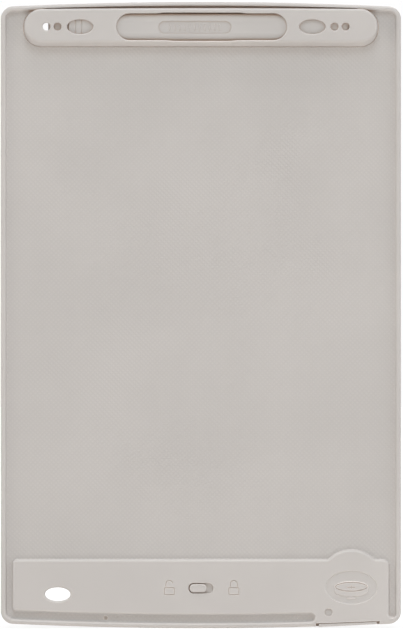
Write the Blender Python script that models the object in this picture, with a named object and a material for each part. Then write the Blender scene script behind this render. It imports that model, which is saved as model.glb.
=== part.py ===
"""LCD writing tablet, 8.5 inch class, with its pen clipped under a hood along the top edge.

Sizes are in metres. The tablet is drawn in a design frame: x to the right as seen from the back,
y up from the bottom edge, z from the front face (0) towards the back. An empty then stands it
upright, with the back facing -Y.
"""

import math

import bmesh
import bpy

# Outline, seen from the back
BODY_WIDTH = 0.1444
BODY_HEIGHT = 0.2260
TOP_BOW = 0.0018
BOTTOM_BOW = 0.0016
CORNER_RADIUS = 0.0045

# Gaps between pieces
FIT_GAP = 0.0003
STACK_GAP = 0.00015

# Front frame
FACE_WALL = 0.0011
SIDE_WALL = 0.0016
FRONT_DEPTH = 0.0029
FRONT_EDGE_ROUND = 0.0010
COLLAR_WALL = 0.0011
MERGE = 0.0003
SCREEN_SIDE_MARGIN = 0.0092
SCREEN_BOTTOM = 0.0300
SCREEN_TOP_MARGIN = 0.0205
SCREEN_CORNER = 0.0030
SCREEN_CHAMFER = 0.0007
EDGE_CHAMFER = 0.00035

# Screen stack behind the window
STACK_OVERLAP = 0.0022
TAPE_THICKNESS = 0.0002
TAPE_WIDTH = 0.0017
LCD_THICKNESS = 0.0005
BACKING_THICKNESS = 0.0006
LOCATING_RIB = 0.0008
LOCATING_RIB_LENGTH = 0.0140
LOCATING_RIB_SHARES = (0.2, 0.5, 0.8)

# Rear cover
PARTING_GAP = 0.0002
PANEL_THICKNESS = 0.0014
RIM_WIDTH = 0.00195
RIM_ROUND = 0.0011
WALL_DRAFT = 0.00015
EDGE_ROUND = 0.00045
SNAP_TAB_LENGTH = 0.0080
SNAP_TAB_THICKNESS = 0.0008
SNAP_TAB_DROP = 0.0015
SNAP_TAB_SHARES = (0.25, 0.5, 0.75)

# Electronics pod along the bottom of the rear cover
POD_LEFT_MARGIN = 0.0044
POD_RIGHT_MARGIN = 0.0045
POD_TOP = 0.0248
POD_WALL = 0.00105
POD_SIDE_WALL = 0.0014
POD_LEFT_CORNER = 0.0019
POD_RIGHT_CORNER = 0.0024
POD_FOOT_CORNER = 0.0009
CHANNEL_WIDTH = 0.0027
CHANNEL_DRAWER_GAP = 0.0006
STRIP_END = 0.0040
BUMP_SIDE_MARGIN = 0.0179
BUMP_Y = 0.0165
BUMP_RADIUS = 0.0118
BUMP_FLARE = 0.0016
DIMPLE_SIDE_MARGIN = 0.0378
DIMPLE_RADIUS = 0.0006
DIMPLE_DEPTH = 0.0004

# Lanyard eye
LANYARD_SIDE_MARGIN = 0.0205
LANYARD_Y = 0.0122
LANYARD_WIDTH = 0.0092
LANYARD_HEIGHT = 0.0050

# Pen hood
HOOD_SIDE_MARGIN = 0.00845
HOOD_HEIGHT = 0.0138
HOOD_CORNER = 0.0062
HOOD_ROUND = 0.0011
HOOD_ROOF = 0.0012
HOOD_TOP_MARGIN = 0.0024
SLIT_WIDTH = 0.0009
SLIT_END_WIDTH = 0.0002
SLIT_END_MARGIN = 0.00775
WINDOW_END_MARGIN = 0.03275
WINDOW_HEIGHT = 0.0100
OVAL_LENGTH = 0.0094
OVAL_HEIGHT = 0.0052
ROUND_HOLE = 0.00275
LEFT_OVAL_MARGIN = 0.02015
RIGHT_OVAL_MARGIN = 0.02355
LEFT_HOLE_MARGIN = 0.00805
RIGHT_HOLE_MARGIN = 0.01155
ROUND_HOLE_PITCH = 0.0040
UPPER_RELIEF = 0.0300
LOWER_RELIEF = 0.0234
RELIEF_DEPTH = 0.0007
RELIEF_SLOPE = 0.0012

# Pen
PEN_AXIS_BELOW_HOOD = 0.0066
PEN_WIDTH = 0.0086
PEN_DEPTH = 0.0064
PEN_FRONT = 0.0003
PEN_SQUARENESS = 2.6
ROUND_SECTION = 2.0
PEN_TAIL_MARGIN = 0.00865
TAIL_LENGTH = 0.0073
CONE_LENGTH = 0.0110
CONE_POWER = 1.4
CONE_TIP_RADIUS = 0.0017
NIB_MARGIN = 0.00375
NIB_LENGTH = 0.0030
NIB_RADIUS = 0.0010
NIB_STEM_LENGTH = 0.0040
TAIL_WIDTH = 0.0068
TAIL_DEPTH = 0.0052
TAIL_STEM_RADIUS = 0.0016
TAIL_STEM_LENGTH = 0.0050
GROOVE_START = 0.0025
GROOVE_PITCH = 0.0022
GROOVE_WIDTH = 0.0007
GROOVE_DEPTH = 0.0003
LABEL_X = -0.0022
LABEL_LENGTH = 0.0262
LABEL_HEIGHT = 0.0045
LABEL_DEPTH = 0.00045
SLOT_END_GAP = 0.0024
SLOT_CORNER = 0.0030

# Coin cell and its drawer
CELL_OFFSET = 0.0013
CELL_Y = 0.0156
CELL_RADIUS = 0.0100
CELL_THICKNESS = 0.0025
CELL_CAP_RADIUS = 0.0087
CELL_CAP_RISE = 0.00025
CELL_EDGE_ROUND = 0.0003
LEDGE_THICKNESS = 0.0005
LEDGE_WIDTH = 0.0016
TRAY_WALL = 0.0009
TRAY_WALL_HEIGHT = 0.00305
LIP_WIDTH = 0.0209
LIP_THICKNESS = 0.0009
LIP_PROUD = 0.0002
LIP_GAP = 0.00035
LIP_BELOW_FACE = 0.0002
LIP_ROUND = 0.0003
BAY_END_STEP = 0.0005
GUIDE_RIB = 0.0012
RELEASE_OFFSET = 0.0069
RELEASE_Y = 0.0057
RELEASE_RADIUS = 0.00135

# Contact strips of the coin cell
STRIP_THICKNESS = 0.0002
STRIP_WIDTH = 0.0030
STRIP_RISE = 0.0024
STRIP_FOOT = 0.0040
STRIP_REACH = 0.0040

# Control board
BOARD_LEFT = -0.0220
BOARD_DRAWER_GAP = 0.0020
BOARD_BOTTOM = 0.0086
BOARD_TOP = 0.0222
BOARD_CORNER = 0.0010
BOARD_THICKNESS = 0.0008
BOARD_Z = 0.0032
SCREW_INSET = 0.0030
SCREW_RADIUS = 0.0007
SCREW_HEAD_RADIUS = 0.0014
SCREW_HEAD_HEIGHT = 0.0005
SCREW_DEPTH = 0.0022
SCREW_RECESS = 0.00025
SCREW_SLOT_RADIUS = 0.0006
BOSS_RADIUS = 0.0021
CHIP_OFFSET = 0.0095
CHIP_SIDE = 0.0050
CHIP_HEIGHT = 0.0006
CAPACITOR_OFFSET = 0.0265
CAPACITOR_PITCH = 0.0045
CAPACITOR_LENGTH = 0.0032
CAPACITOR_WIDTH = 0.0016
CAPACITOR_HEIGHT = 0.0007
INDUCTOR_OFFSET = 0.0095
INDUCTOR_RADIUS = 0.0022
INDUCTOR_HEIGHT = 0.0013
TAIL_STRIP_OFFSET = 0.0190
TAIL_STRIP_WIDTH = 0.0080
TAIL_STRIP_THICKNESS = 0.0002
TAIL_STRIP_LAP = 0.0025

# Erase button on the front and lock slider on the back, on one centre
KEYS_Y = 0.0144
BUTTON_WIDTH = 0.0240
BUTTON_HEIGHT = 0.0090
BUTTON_RECESS = 0.00015
BUTTON_ROUND = 0.0004
BUTTON_GAP = 0.0003
BUTTON_FLANGE = 0.0010
BUTTON_FLANGE_THICKNESS = 0.0004
KEY_SWITCH_SIDE = 0.0045
KEY_SWITCH_HEIGHT = 0.00065
KEY_SWITCH_BORE = 0.0012
KEY_PLUNGER_RADIUS = 0.0010
KEY_PLUNGER_HEIGHT = 0.0008
LOCK_SLOT_WIDTH = 0.00885
LOCK_SLOT_HEIGHT = 0.0037
LOCK_KNOB_WIDTH = 0.0065
LOCK_KNOB_HEIGHT = 0.0033
LOCK_KNOB_CORNER = 0.0014
LOCK_KNOB_RISE = 0.0003
LOCK_KNOB_ROUND = 0.0003
LOCK_END_GAP = 0.0002
LOCK_PLATE_MARGIN = 0.0016
LOCK_PLATE_THICKNESS = 0.0003
WIPER_WIDTH = 0.0016
WIPER_LENGTH = 0.0056
WIPER_THICKNESS = 0.00015
WIPER_DROP = 0.00015

# Facets
CORNER_STEPS = 6
BOW_STEPS = 14
ROUND_STEPS = 4
HOLE_STEPS = 24
PEN_STEPS = 28
SMALL_STEPS = 2
HOOD_ROUND_STEPS = 5
SOCKET_SIDES = 6
SHARP_ANGLE = 32
OVERSHOOT = 0.0010

# Depths that follow from the stack, measured from the front face
TAPE_Z = FACE_WALL + STACK_GAP
LCD_Z = TAPE_Z + TAPE_THICKNESS + STACK_GAP
BACKING_Z = LCD_Z + LCD_THICKNESS + STACK_GAP
REAR_Z = FRONT_DEPTH + PARTING_GAP
PANEL_FACE = REAR_Z + PANEL_THICKNESS
TRAY_Z = FACE_WALL + FIT_GAP
CELL_Z = TRAY_Z + LEDGE_THICKNESS + STACK_GAP
POSITIVE_Z = CELL_Z + CELL_THICKNESS + STACK_GAP
POD_ROOF = POSITIVE_Z + STRIP_THICKNESS + STACK_GAP
RIM_FACE = POD_ROOF + POD_WALL
PEN_Z = PEN_FRONT + PEN_DEPTH / 2
HOOD_ROOF_Z = PEN_FRONT + PEN_DEPTH + FIT_GAP
HOOD_FACE = HOOD_ROOF_Z + HOOD_ROOF
BOARD_BACK = BOARD_Z + BOARD_THICKNESS

# Places that follow from the body's sides
BODY_HALF = BODY_WIDTH / 2
SCREEN_WIDTH = BODY_WIDTH - 2 * SCREEN_SIDE_MARGIN
POD_LEFT = -BODY_HALF + POD_LEFT_MARGIN
POD_RIGHT = BODY_HALF - POD_RIGHT_MARGIN
BUMP_X = BODY_HALF - BUMP_SIDE_MARGIN
DIMPLE_X = -BODY_HALF + DIMPLE_SIDE_MARGIN
LANYARD_X = -BODY_HALF + LANYARD_SIDE_MARGIN
CELL_X = BUMP_X - CELL_OFFSET
RELEASE_X = CELL_X - RELEASE_OFFSET
STRIP_Y = CELL_Y + STRIP_RISE
BAY_HALF = CELL_RADIUS + FIT_GAP + TRAY_WALL + FIT_GAP
CHANNEL_END = CELL_X - BAY_HALF - CHANNEL_DRAWER_GAP
BOARD_RIGHT = CELL_X - BAY_HALF - BOARD_DRAWER_GAP
CHIP_X = BOARD_LEFT + CHIP_OFFSET
CAPACITOR_X = BOARD_RIGHT - CAPACITOR_OFFSET
INDUCTOR_X = BOARD_RIGHT - INDUCTOR_OFFSET
TAIL_STRIP_X = BOARD_RIGHT - TAIL_STRIP_OFFSET
HOOD_WIDTH = BODY_WIDTH - 2 * HOOD_SIDE_MARGIN
HOOD_HALF = HOOD_WIDTH / 2
SLIT_LENGTH = HOOD_WIDTH - 2 * SLIT_END_MARGIN
WINDOW_LENGTH = HOOD_WIDTH - 2 * WINDOW_END_MARGIN
OVAL_HOLES_X = (-HOOD_HALF + LEFT_OVAL_MARGIN, HOOD_HALF - RIGHT_OVAL_MARGIN)
ROUND_HOLES_X = (
    -HOOD_HALF + LEFT_HOLE_MARGIN,
    -HOOD_HALF + LEFT_HOLE_MARGIN + ROUND_HOLE_PITCH,
    HOOD_HALF - RIGHT_HOLE_MARGIN - ROUND_HOLE_PITCH,
    HOOD_HALF - RIGHT_HOLE_MARGIN,
)
PEN_TAIL_X = -HOOD_HALF + PEN_TAIL_MARGIN
BARREL_START_X = PEN_TAIL_X + TAIL_LENGTH
GROOVES_X = (BARREL_START_X + GROOVE_START, BARREL_START_X + GROOVE_START + GROOVE_PITCH)
NIB_END_X = HOOD_HALF - NIB_MARGIN
CONE_END_X = NIB_END_X - NIB_LENGTH
CONE_START_X = CONE_END_X - CONE_LENGTH

# Heights and half sizes that follow from the outline
TOP_RADIUS = (BODY_HALF**2 + TOP_BOW**2) / (2 * TOP_BOW)
BOTTOM_RADIUS = (BODY_HALF**2 + BOTTOM_BOW**2) / (2 * BOTTOM_BOW)
HOOD_TOP = BODY_HEIGHT - HOOD_TOP_MARGIN
PEN_AXIS = HOOD_TOP - PEN_AXIS_BELOW_HOOD
SLOT_HALF = PEN_WIDTH / 2 + FIT_GAP
SCREEN_TOP = BODY_HEIGHT - SCREEN_TOP_MARGIN
TRAY_HALF = BAY_HALF - FIT_GAP
POCKET_RADIUS = CELL_RADIUS + FIT_GAP
LOCK_TRAVEL = LOCK_SLOT_WIDTH - LOCK_KNOB_WIDTH - 2 * LOCK_END_GAP
LOCK_REST_X = -LOCK_TRAVEL / 2

# Finishes: sRGB colour, roughness, metallic
SHELL_FINISH = ((0.765, 0.745, 0.725), 0.55, 0.0)
PEN_FINISH = ((0.770, 0.750, 0.730), 0.45, 0.0)
SCREEN_FINISH = ((0.075, 0.085, 0.085), 0.25, 0.0)
BLACK_FINISH = ((0.050, 0.050, 0.052), 0.70, 0.0)
TAPE_FINISH = ((0.880, 0.870, 0.820), 0.60, 0.0)
BOARD_FINISH = ((0.050, 0.260, 0.130), 0.45, 0.0)
STEEL_FINISH = ((0.720, 0.720, 0.710), 0.25, 1.0)
BRASS_FINISH = ((0.800, 0.660, 0.360), 0.30, 1.0)
CERAMIC_FINISH = ((0.520, 0.400, 0.260), 0.40, 0.0)
FERRITE_FINISH = ((0.160, 0.155, 0.150), 0.60, 0.0)
NIB_FINISH = ((0.160, 0.160, 0.165), 0.40, 0.0)
FILM_FINISH = ((0.640, 0.420, 0.150), 0.35, 0.0)


def arc(centre_x, centre_y, radius, start, end, steps=CORNER_STEPS):
    """Points along an arc, both ends included; angles in degrees."""
    points = []
    for step in range(steps + 1):
        angle = math.radians(start + (end - start) * step / steps)
        points.append((centre_x + radius * math.cos(angle), centre_y + radius * math.sin(angle)))
    return points


def ellipse(centre_x, centre_y, width, height, steps=HOLE_STEPS):
    points = []
    for step in range(steps):
        angle = 2 * math.pi * step / steps
        points.append((centre_x + width / 2 * math.cos(angle), centre_y + height / 2 * math.sin(angle)))
    return points


def rounded_rect(left, bottom, right, top, radius, steps=CORNER_STEPS):
    return (
        arc(right - radius, bottom + radius, radius, 270, 360, steps)
        + arc(right - radius, top - radius, radius, 0, 90, steps)
        + arc(left + radius, top - radius, radius, 90, 180, steps)
        + arc(left + radius, bottom + radius, radius, 180, 270, steps)
    )


def centred_rect(centre_x, centre_y, width, height, radius, steps=CORNER_STEPS):
    return rounded_rect(
        centre_x - width / 2,
        centre_y - height / 2,
        centre_x + width / 2,
        centre_y + height / 2,
        radius,
        steps,
    )


def stadium(centre_x, centre_y, width, height, steps=CORNER_STEPS):
    """A slot with fully round ends, with no doubled points where the end arcs meet."""
    radius = height / 2
    reach = (width - height) / 2
    right = arc(centre_x + reach, centre_y, radius, -90, 90, 2 * steps)
    left = arc(centre_x - reach, centre_y, radius, 90, 270, 2 * steps)
    return right + left


def box_outline(left, bottom, right, top):
    return [(left, bottom), (right, bottom), (right, top), (left, top)]


def grown(outline, distance):
    """The outline moved outwards by a distance, corner by corner."""
    moved = []
    count = len(outline)
    for index, (x, y) in enumerate(outline):
        before = outline[index - 1]
        after = outline[(index + 1) % count]
        normals = []
        for (x0, y0), (x1, y1) in ((before, (x, y)), ((x, y), after)):
            length = math.hypot(x1 - x0, y1 - y0)
            normals.append(((y1 - y0) / length, (x0 - x1) / length))
        (ax, ay), (bx, by) = normals
        share = distance / (1 + ax * bx + ay * by)
        moved.append((x + share * (ax + bx), y + share * (ay + by)))
    return moved


def corner_arc(right, upper, inset):
    """One corner of the tablet outline, drawn inwards by an inset, anticlockwise."""
    bow = TOP_RADIUS if upper else BOTTOM_RADIUS
    reach = BODY_HALF - CORNER_RADIUS
    lean = math.degrees(math.asin(reach / (bow - CORNER_RADIUS)))
    rise = math.sqrt((bow - CORNER_RADIUS) ** 2 - reach**2)
    centre_y = BODY_HEIGHT - TOP_RADIUS + rise if upper else BOTTOM_RADIUS - rise
    centre_x = reach if right else -reach
    if upper:
        start, end = (0, 90 - lean) if right else (90 + lean, 180)
    else:
        start, end = (270 + lean, 360) if right else (180, 270 - lean)
    return arc(centre_x, centre_y, CORNER_RADIUS - inset, start, end)


def bow_arc(upper, inset, start_x, end_x, steps=BOW_STEPS):
    """Points along the bowed top or bottom edge, between two places but without them."""
    bow = TOP_RADIUS if upper else BOTTOM_RADIUS
    radius = bow - inset
    points = []
    for step in range(1, steps):
        x = start_x + (end_x - start_x) * step / steps
        rise = math.sqrt(radius**2 - x**2)
        points.append((x, BODY_HEIGHT - TOP_RADIUS + rise if upper else BOTTOM_RADIUS - rise))
    return points


def bottom_edge(x, inset):
    """Height of the bowed bottom edge at one place, drawn inwards by an inset."""
    return BOTTOM_RADIUS - math.sqrt((BOTTOM_RADIUS - inset) ** 2 - x**2)


def body_outline(inset=0.0):
    upper_right = corner_arc(True, True, inset)
    upper_left = corner_arc(False, True, inset)
    lower_left = corner_arc(False, False, inset)
    lower_right = corner_arc(True, False, inset)
    top = bow_arc(True, inset, upper_right[-1][0], upper_left[0][0])
    bottom = bow_arc(False, inset, lower_left[-1][0], lower_right[0][0])
    return lower_right + upper_right + top + upper_left + lower_left + bottom


def strip_end():
    """Rounded lower end of the narrow strip between the pod and the right rim."""
    side = BODY_HALF - RIM_WIDTH
    radius = (side - POD_RIGHT) / 2
    return arc((side + POD_RIGHT) / 2, STRIP_END + radius, radius, 180, 360, 2 * ROUND_STEPS)


def channel_end():
    """Rounded right end of the channel between the pod and the bottom rim."""
    radius = CHANNEL_WIDTH / 2
    middle = BOTTOM_RADIUS - RIM_WIDTH - radius
    lean = math.asin((CHANNEL_END - radius) / middle)
    centre_x = middle * math.sin(lean)
    centre_y = BOTTOM_RADIUS - middle * math.cos(lean)
    turn = math.degrees(lean)
    return arc(centre_x, centre_y, radius, turn - 90, turn + 90, 2 * ROUND_STEPS)


def pod_foot_corner():
    """Lower left corner of the pod, clockwise from its bowed lower edge to its left side."""
    radius = BOTTOM_RADIUS - RIM_WIDTH - CHANNEL_WIDTH - POD_FOOT_CORNER
    centre_x = POD_LEFT + POD_FOOT_CORNER
    centre_y = BOTTOM_RADIUS - math.sqrt(radius**2 - centre_x**2)
    start = -90 - math.degrees(math.asin(-centre_x / radius))
    return arc(centre_x, centre_y, POD_FOOT_CORNER, start, -180, ROUND_STEPS)


def pod_bump():
    """Upper edge of the pod where it swells around the coin cell, from left to right."""
    flare_y = POD_TOP + BUMP_FLARE
    reach = math.sqrt((BUMP_RADIUS + BUMP_FLARE) ** 2 - (flare_y - BUMP_Y) ** 2)
    tilt = math.degrees(math.atan2(flare_y - BUMP_Y, reach))
    left = arc(BUMP_X - reach, flare_y, BUMP_FLARE, -90, -tilt, ROUND_STEPS)
    crown = arc(BUMP_X, BUMP_Y, BUMP_RADIUS, 180 - tilt, tilt, 2 * CORNER_STEPS)
    right = arc(BUMP_X + reach, flare_y, BUMP_FLARE, 180 + tilt, 270, ROUND_STEPS)
    return left[:-1] + crown + right[1:]


def recess_outline():
    """Foot line of the sunk panel: inside the rim and around the electronics pod, anticlockwise."""
    upper_right = corner_arc(True, True, RIM_WIDTH)
    upper_left = corner_arc(False, True, RIM_WIDTH)
    lower_left = corner_arc(False, False, RIM_WIDTH)
    end = channel_end()
    foot = pod_foot_corner()
    left_x = POD_LEFT + POD_LEFT_CORNER
    right_x = POD_RIGHT - POD_RIGHT_CORNER
    left_corner = arc(left_x, POD_TOP - POD_LEFT_CORNER, POD_LEFT_CORNER, 180, 90)
    right_corner = arc(right_x, POD_TOP - POD_RIGHT_CORNER, POD_RIGHT_CORNER, 90, 0)
    return (
        strip_end()
        + upper_right
        + bow_arc(True, RIM_WIDTH, upper_right[-1][0], upper_left[0][0])
        + upper_left
        + lower_left
        + bow_arc(False, RIM_WIDTH, lower_left[-1][0], end[0][0])
        + end
        + bow_arc(False, RIM_WIDTH + CHANNEL_WIDTH, end[-1][0], foot[0][0])
        + foot
        + left_corner
        + pod_bump()
        + right_corner
    )


def prism(outline, low, high):
    return [at_depth(outline, low), at_depth(outline, high)]


def at_depth(outline, depth):
    return [(x, y, depth) for x, y in outline]


def round_top(outline, low, high, radius, steps=ROUND_STEPS):
    """Loft with its edge at the high end rounded over."""
    rings = [at_depth(outline, low)]
    for step in range(steps + 1):
        angle = math.pi / 2 * step / steps
        inset = radius * (1 - math.cos(angle))
        rings.append(at_depth(grown(outline, -inset), high - radius + radius * math.sin(angle)))
    return rings


def round_bottom(outline, low, high, radius, steps=ROUND_STEPS):
    """Loft with its edge at the low end rounded over."""
    rings = []
    for step in range(steps + 1):
        angle = math.pi / 2 * (1 - step / steps)
        inset = radius * (1 - math.cos(angle))
        rings.append(at_depth(grown(outline, -inset), low + radius - radius * math.sin(angle)))
    rings.append(at_depth(outline, high))
    return rings


def back_hole(outline, low, face, chamfer=EDGE_CHAMFER):
    """Cutter for a hole from the back, chamfered where it meets that face."""
    flare = grown(outline, chamfer + OVERSHOOT)
    return [at_depth(outline, low), at_depth(outline, face - chamfer), at_depth(flare, face + OVERSHOOT)]


def front_hole(outline, high, chamfer=EDGE_CHAMFER):
    """Cutter for a hole from the front face, chamfered there."""
    flare = grown(outline, chamfer + OVERSHOOT)
    return [at_depth(flare, -OVERSHOOT), at_depth(outline, chamfer), at_depth(outline, high)]


def turned(centre_x, centre_y, profile, steps=HOLE_STEPS):
    """Rings of a turned piece whose axis runs through the tablet; profile holds (radius, depth)."""
    rings = []
    for radius, depth in profile:
        rings.append(at_depth(ellipse(centre_x, centre_y, 2 * radius, 2 * radius, steps), depth))
    return rings


def linear_channel(value):
    return value / 12.92 if value <= 0.04045 else ((value + 0.055) / 1.055) ** 2.4


def material(name, finish):
    colour, roughness, metallic = finish
    made = bpy.data.materials.new(name)
    made.use_nodes = True
    shader = made.node_tree.nodes["Principled BSDF"]
    shader.inputs["Base Color"].default_value = [linear_channel(value) for value in colour] + [1.0]
    shader.inputs["Roughness"].default_value = roughness
    shader.inputs["Metallic"].default_value = metallic
    return made


def solid(name, *lofts, finish=None, origin=(0.0, 0.0, 0.0)):
    """One object of closed lofts. Without a finish it is a helper for a Boolean."""
    shape = bmesh.new()
    for rings in lofts:
        skin(shape, rings, origin)
    bmesh.ops.recalc_face_normals(shape, faces=shape.faces)
    mesh = bpy.data.meshes.new(name)
    shape.to_mesh(mesh)
    shape.free()
    mesh.shade_smooth()
    mesh.set_sharp_from_angle(angle=math.radians(SHARP_ANGLE))
    made = bpy.data.objects.new(name, mesh)
    bpy.context.scene.collection.objects.link(made)
    made.parent = bpy.data.objects["tablet"]
    made.location = origin
    if finish:
        mesh.materials.append(material(name, finish))
    else:
        made.hide_render = True
        made.display_type = "WIRE"
    return made


def skin(shape, rings, origin):
    """Closed surface through rings of equally many points."""
    rows = []
    for ring in rings:
        row = []
        for point in ring:
            row.append(shape.verts.new([value - base for value, base in zip(point, origin)]))
        rows.append(row)
    for lower, upper in zip(rows, rows[1:]):
        for index in range(len(lower)):
            after = (index + 1) % len(lower)
            shape.faces.new((lower[index], lower[after], upper[after], upper[index]))
    shape.faces.new(list(reversed(rows[0])))
    shape.faces.new(rows[-1])


def cut(target, name, *lofts):
    boolean(target, solid(f"{target.name}.{name}", *lofts), "DIFFERENCE")


def join(target, name, *lofts):
    boolean(target, solid(f"{target.name}.{name}", *lofts), "UNION")


def boolean(target, helper, operation):
    modifier = target.modifiers.new(helper.name, "BOOLEAN")
    modifier.operation = operation
    modifier.solver = "EXACT"
    modifier.object = helper


def pen_slot_outline():
    """Outline of the pen's slot through the front and of its channel under the hood."""
    return rounded_rect(
        PEN_TAIL_X - SLOT_END_GAP,
        PEN_AXIS - SLOT_HALF,
        NIB_END_X + SLOT_END_GAP,
        PEN_AXIS + SLOT_HALF,
        SLOT_CORNER,
        ROUND_STEPS,
    )


def lanyard_outline():
    return ellipse(LANYARD_X, LANYARD_Y, LANYARD_WIDTH, LANYARD_HEIGHT)


def bay_outline():
    """Space for the battery drawer, open at the bottom edge; its round end stops the tray walls."""
    left = CELL_X - BAY_HALF
    right = CELL_X + BAY_HALF
    end = arc(CELL_X, CELL_Y, BAY_HALF - BAY_END_STEP, 0, 180, 2 * CORNER_STEPS)
    return [(left, -OVERSHOOT), (right, -OVERSHOOT), (right, CELL_Y)] + end + [(left, CELL_Y)]


def screen_outline(margin):
    return grown(
        rounded_rect(-SCREEN_WIDTH / 2, SCREEN_BOTTOM, SCREEN_WIDTH / 2, SCREEN_TOP, SCREEN_CORNER), margin
    )


def button_outline(margin=0.0):
    return grown(stadium(0.0, KEYS_Y, BUTTON_WIDTH, BUTTON_HEIGHT), margin)


def screw_places():
    return (
        ("left", BOARD_LEFT + SCREW_INSET, BOARD_TOP - SCREW_INSET),
        ("right", BOARD_RIGHT - SCREW_INSET, BOARD_BOTTOM + SCREW_INSET),
    )


def locating_ribs():
    """Short ribs beside the screen stack that keep it from shifting."""
    edge = SCREEN_WIDTH / 2 + STACK_OVERLAP + FIT_GAP
    top = SCREEN_TOP + STACK_OVERLAP + FIT_GAP
    low = FACE_WALL - MERGE
    ribs = []
    for share in LOCATING_RIB_SHARES:
        y = SCREEN_BOTTOM + share * (SCREEN_TOP - SCREEN_BOTTOM)
        reach = LOCATING_RIB_LENGTH / 2
        for left in (edge, -edge - LOCATING_RIB):
            outline = box_outline(left, y - reach, left + LOCATING_RIB, y + reach)
            ribs.append(prism(outline, low, BACKING_Z))
        x = (share - 0.5) * SCREEN_WIDTH
        ribs.append(prism(box_outline(x - reach, top, x + reach, top + LOCATING_RIB), low, BACKING_Z))
    return ribs


def guide_ribs():
    """Rails on both sides of the drawer's bay, from the bottom wall to the bay's round end."""
    ribs = []
    for left in (CELL_X - BAY_HALF - GUIDE_RIB, CELL_X + BAY_HALF):
        outline = box_outline(left, SIDE_WALL, left + GUIDE_RIB, CELL_Y)
        ribs.append(prism(outline, FACE_WALL - MERGE, FRONT_DEPTH))
    return ribs


def front_frame():
    frame = solid(
        "front_frame", round_bottom(body_outline(), 0.0, FRONT_DEPTH, FRONT_EDGE_ROUND), finish=SHELL_FINISH
    )
    cut(frame, "inside", prism(body_outline(SIDE_WALL), FACE_WALL, FRONT_DEPTH + OVERSHOOT))
    low = FACE_WALL - MERGE
    bosses = []
    for _, x, y in screw_places():
        bosses.append(turned(x, y, ((BOSS_RADIUS, low), (BOSS_RADIUS, BOARD_Z - STACK_GAP))))
    join(
        frame,
        "collars",
        prism(grown(pen_slot_outline(), COLLAR_WALL), low, FRONT_DEPTH),
        prism(grown(lanyard_outline(), COLLAR_WALL), low, FRONT_DEPTH),
        *bosses,
    )
    join(frame, "ribs", *locating_ribs(), *guide_ribs())
    bores = []
    for _, x, y in screw_places():
        radius = SCREW_RADIUS + STACK_GAP
        bores.append(turned(x, y, ((radius, BOARD_BACK - SCREW_DEPTH - FIT_GAP), (radius, BOARD_BACK))))
    cut(
        frame,
        "openings",
        front_hole(screen_outline(0.0), FRONT_DEPTH + OVERSHOOT, SCREEN_CHAMFER),
        front_hole(pen_slot_outline(), FRONT_DEPTH + OVERSHOOT),
        front_hole(button_outline(BUTTON_GAP), FRONT_DEPTH + OVERSHOOT),
        front_hole(lanyard_outline(), FRONT_DEPTH + OVERSHOOT),
        *bores,
    )
    cut(frame, "drawer_bay", prism(bay_outline(), FACE_WALL, FRONT_DEPTH + OVERSHOOT))
    return frame


def recess_cutter():
    """Cutter for the sunk panel, with drafted walls that round over at the rim and the pod."""
    foot = recess_outline()
    rings = [at_depth(foot, PANEL_FACE)]
    for step in range(ROUND_STEPS):
        angle = math.pi / 2 * step / ROUND_STEPS
        spread = WALL_DRAFT + EDGE_ROUND * (1 - math.cos(angle))
        rings.append(at_depth(grown(foot, spread), RIM_FACE - EDGE_ROUND + EDGE_ROUND * math.sin(angle)))
    rings.append(at_depth(grown(foot, WALL_DRAFT + EDGE_ROUND), RIM_FACE + EDGE_ROUND / ROUND_STEPS))
    return rings


def hood_outline():
    bottom = HOOD_TOP - HOOD_HEIGHT
    return rounded_rect(-HOOD_HALF, bottom, HOOD_HALF, HOOD_TOP, HOOD_CORNER, 2 * ROUND_STEPS)


def relief_outline(length, upper):
    """Pocket in the channel wall beside the middle of the pen, with sloping ends."""
    side = 1 if upper else -1
    inner = PEN_AXIS + side * (SLOT_HALF - RELIEF_DEPTH)
    outer = PEN_AXIS + side * (SLOT_HALF + RELIEF_DEPTH)
    long = length / 2 + RELIEF_SLOPE
    short = length / 2 - RELIEF_SLOPE
    points = [(-long, inner), (long, inner), (short, outer), (-short, outer)]
    return points if upper else list(reversed(points))


def slit_outline():
    """Crescent gap between the straight hood and the bowed top rim."""
    half = SLIT_LENGTH / 2
    low = HOOD_TOP - STACK_GAP
    bow = SLIT_WIDTH - SLIT_END_WIDTH
    radius = (half**2 + bow**2) / (2 * bow)
    lean = math.degrees(math.asin(half / radius))
    crown = HOOD_TOP + SLIT_WIDTH
    return [(-half, low), (half, low)] + arc(0.0, crown - radius, radius, 90 - lean, 90 + lean, BOW_STEPS)


def hood_openings():
    """Finger window, ovals and round holes through the hood's roof."""
    low = HOOD_ROOF_Z - MERGE
    holes = [back_hole(stadium(0.0, PEN_AXIS, WINDOW_LENGTH, WINDOW_HEIGHT), low, HOOD_FACE)]
    for x in OVAL_HOLES_X:
        holes.append(back_hole(ellipse(x, PEN_AXIS, OVAL_LENGTH, OVAL_HEIGHT), low, HOOD_FACE))
    for x in ROUND_HOLES_X:
        holes.append(back_hole(ellipse(x, PEN_AXIS, ROUND_HOLE, ROUND_HOLE), low, HOOD_FACE))
    return holes


def snap_tabs():
    """Tabs under the panel's long sides that spring in behind the front frame's walls."""
    outer = BODY_HALF - SIDE_WALL - FIT_GAP
    tabs = []
    for share in SNAP_TAB_SHARES:
        y = share * BODY_HEIGHT
        for left in (outer - SNAP_TAB_THICKNESS, -outer):
            outline = box_outline(
                left, y - SNAP_TAB_LENGTH / 2, left + SNAP_TAB_THICKNESS, y + SNAP_TAB_LENGTH / 2
            )
            tabs.append(prism(outline, REAR_Z - SNAP_TAB_DROP, REAR_Z + MERGE))
    return tabs


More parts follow.
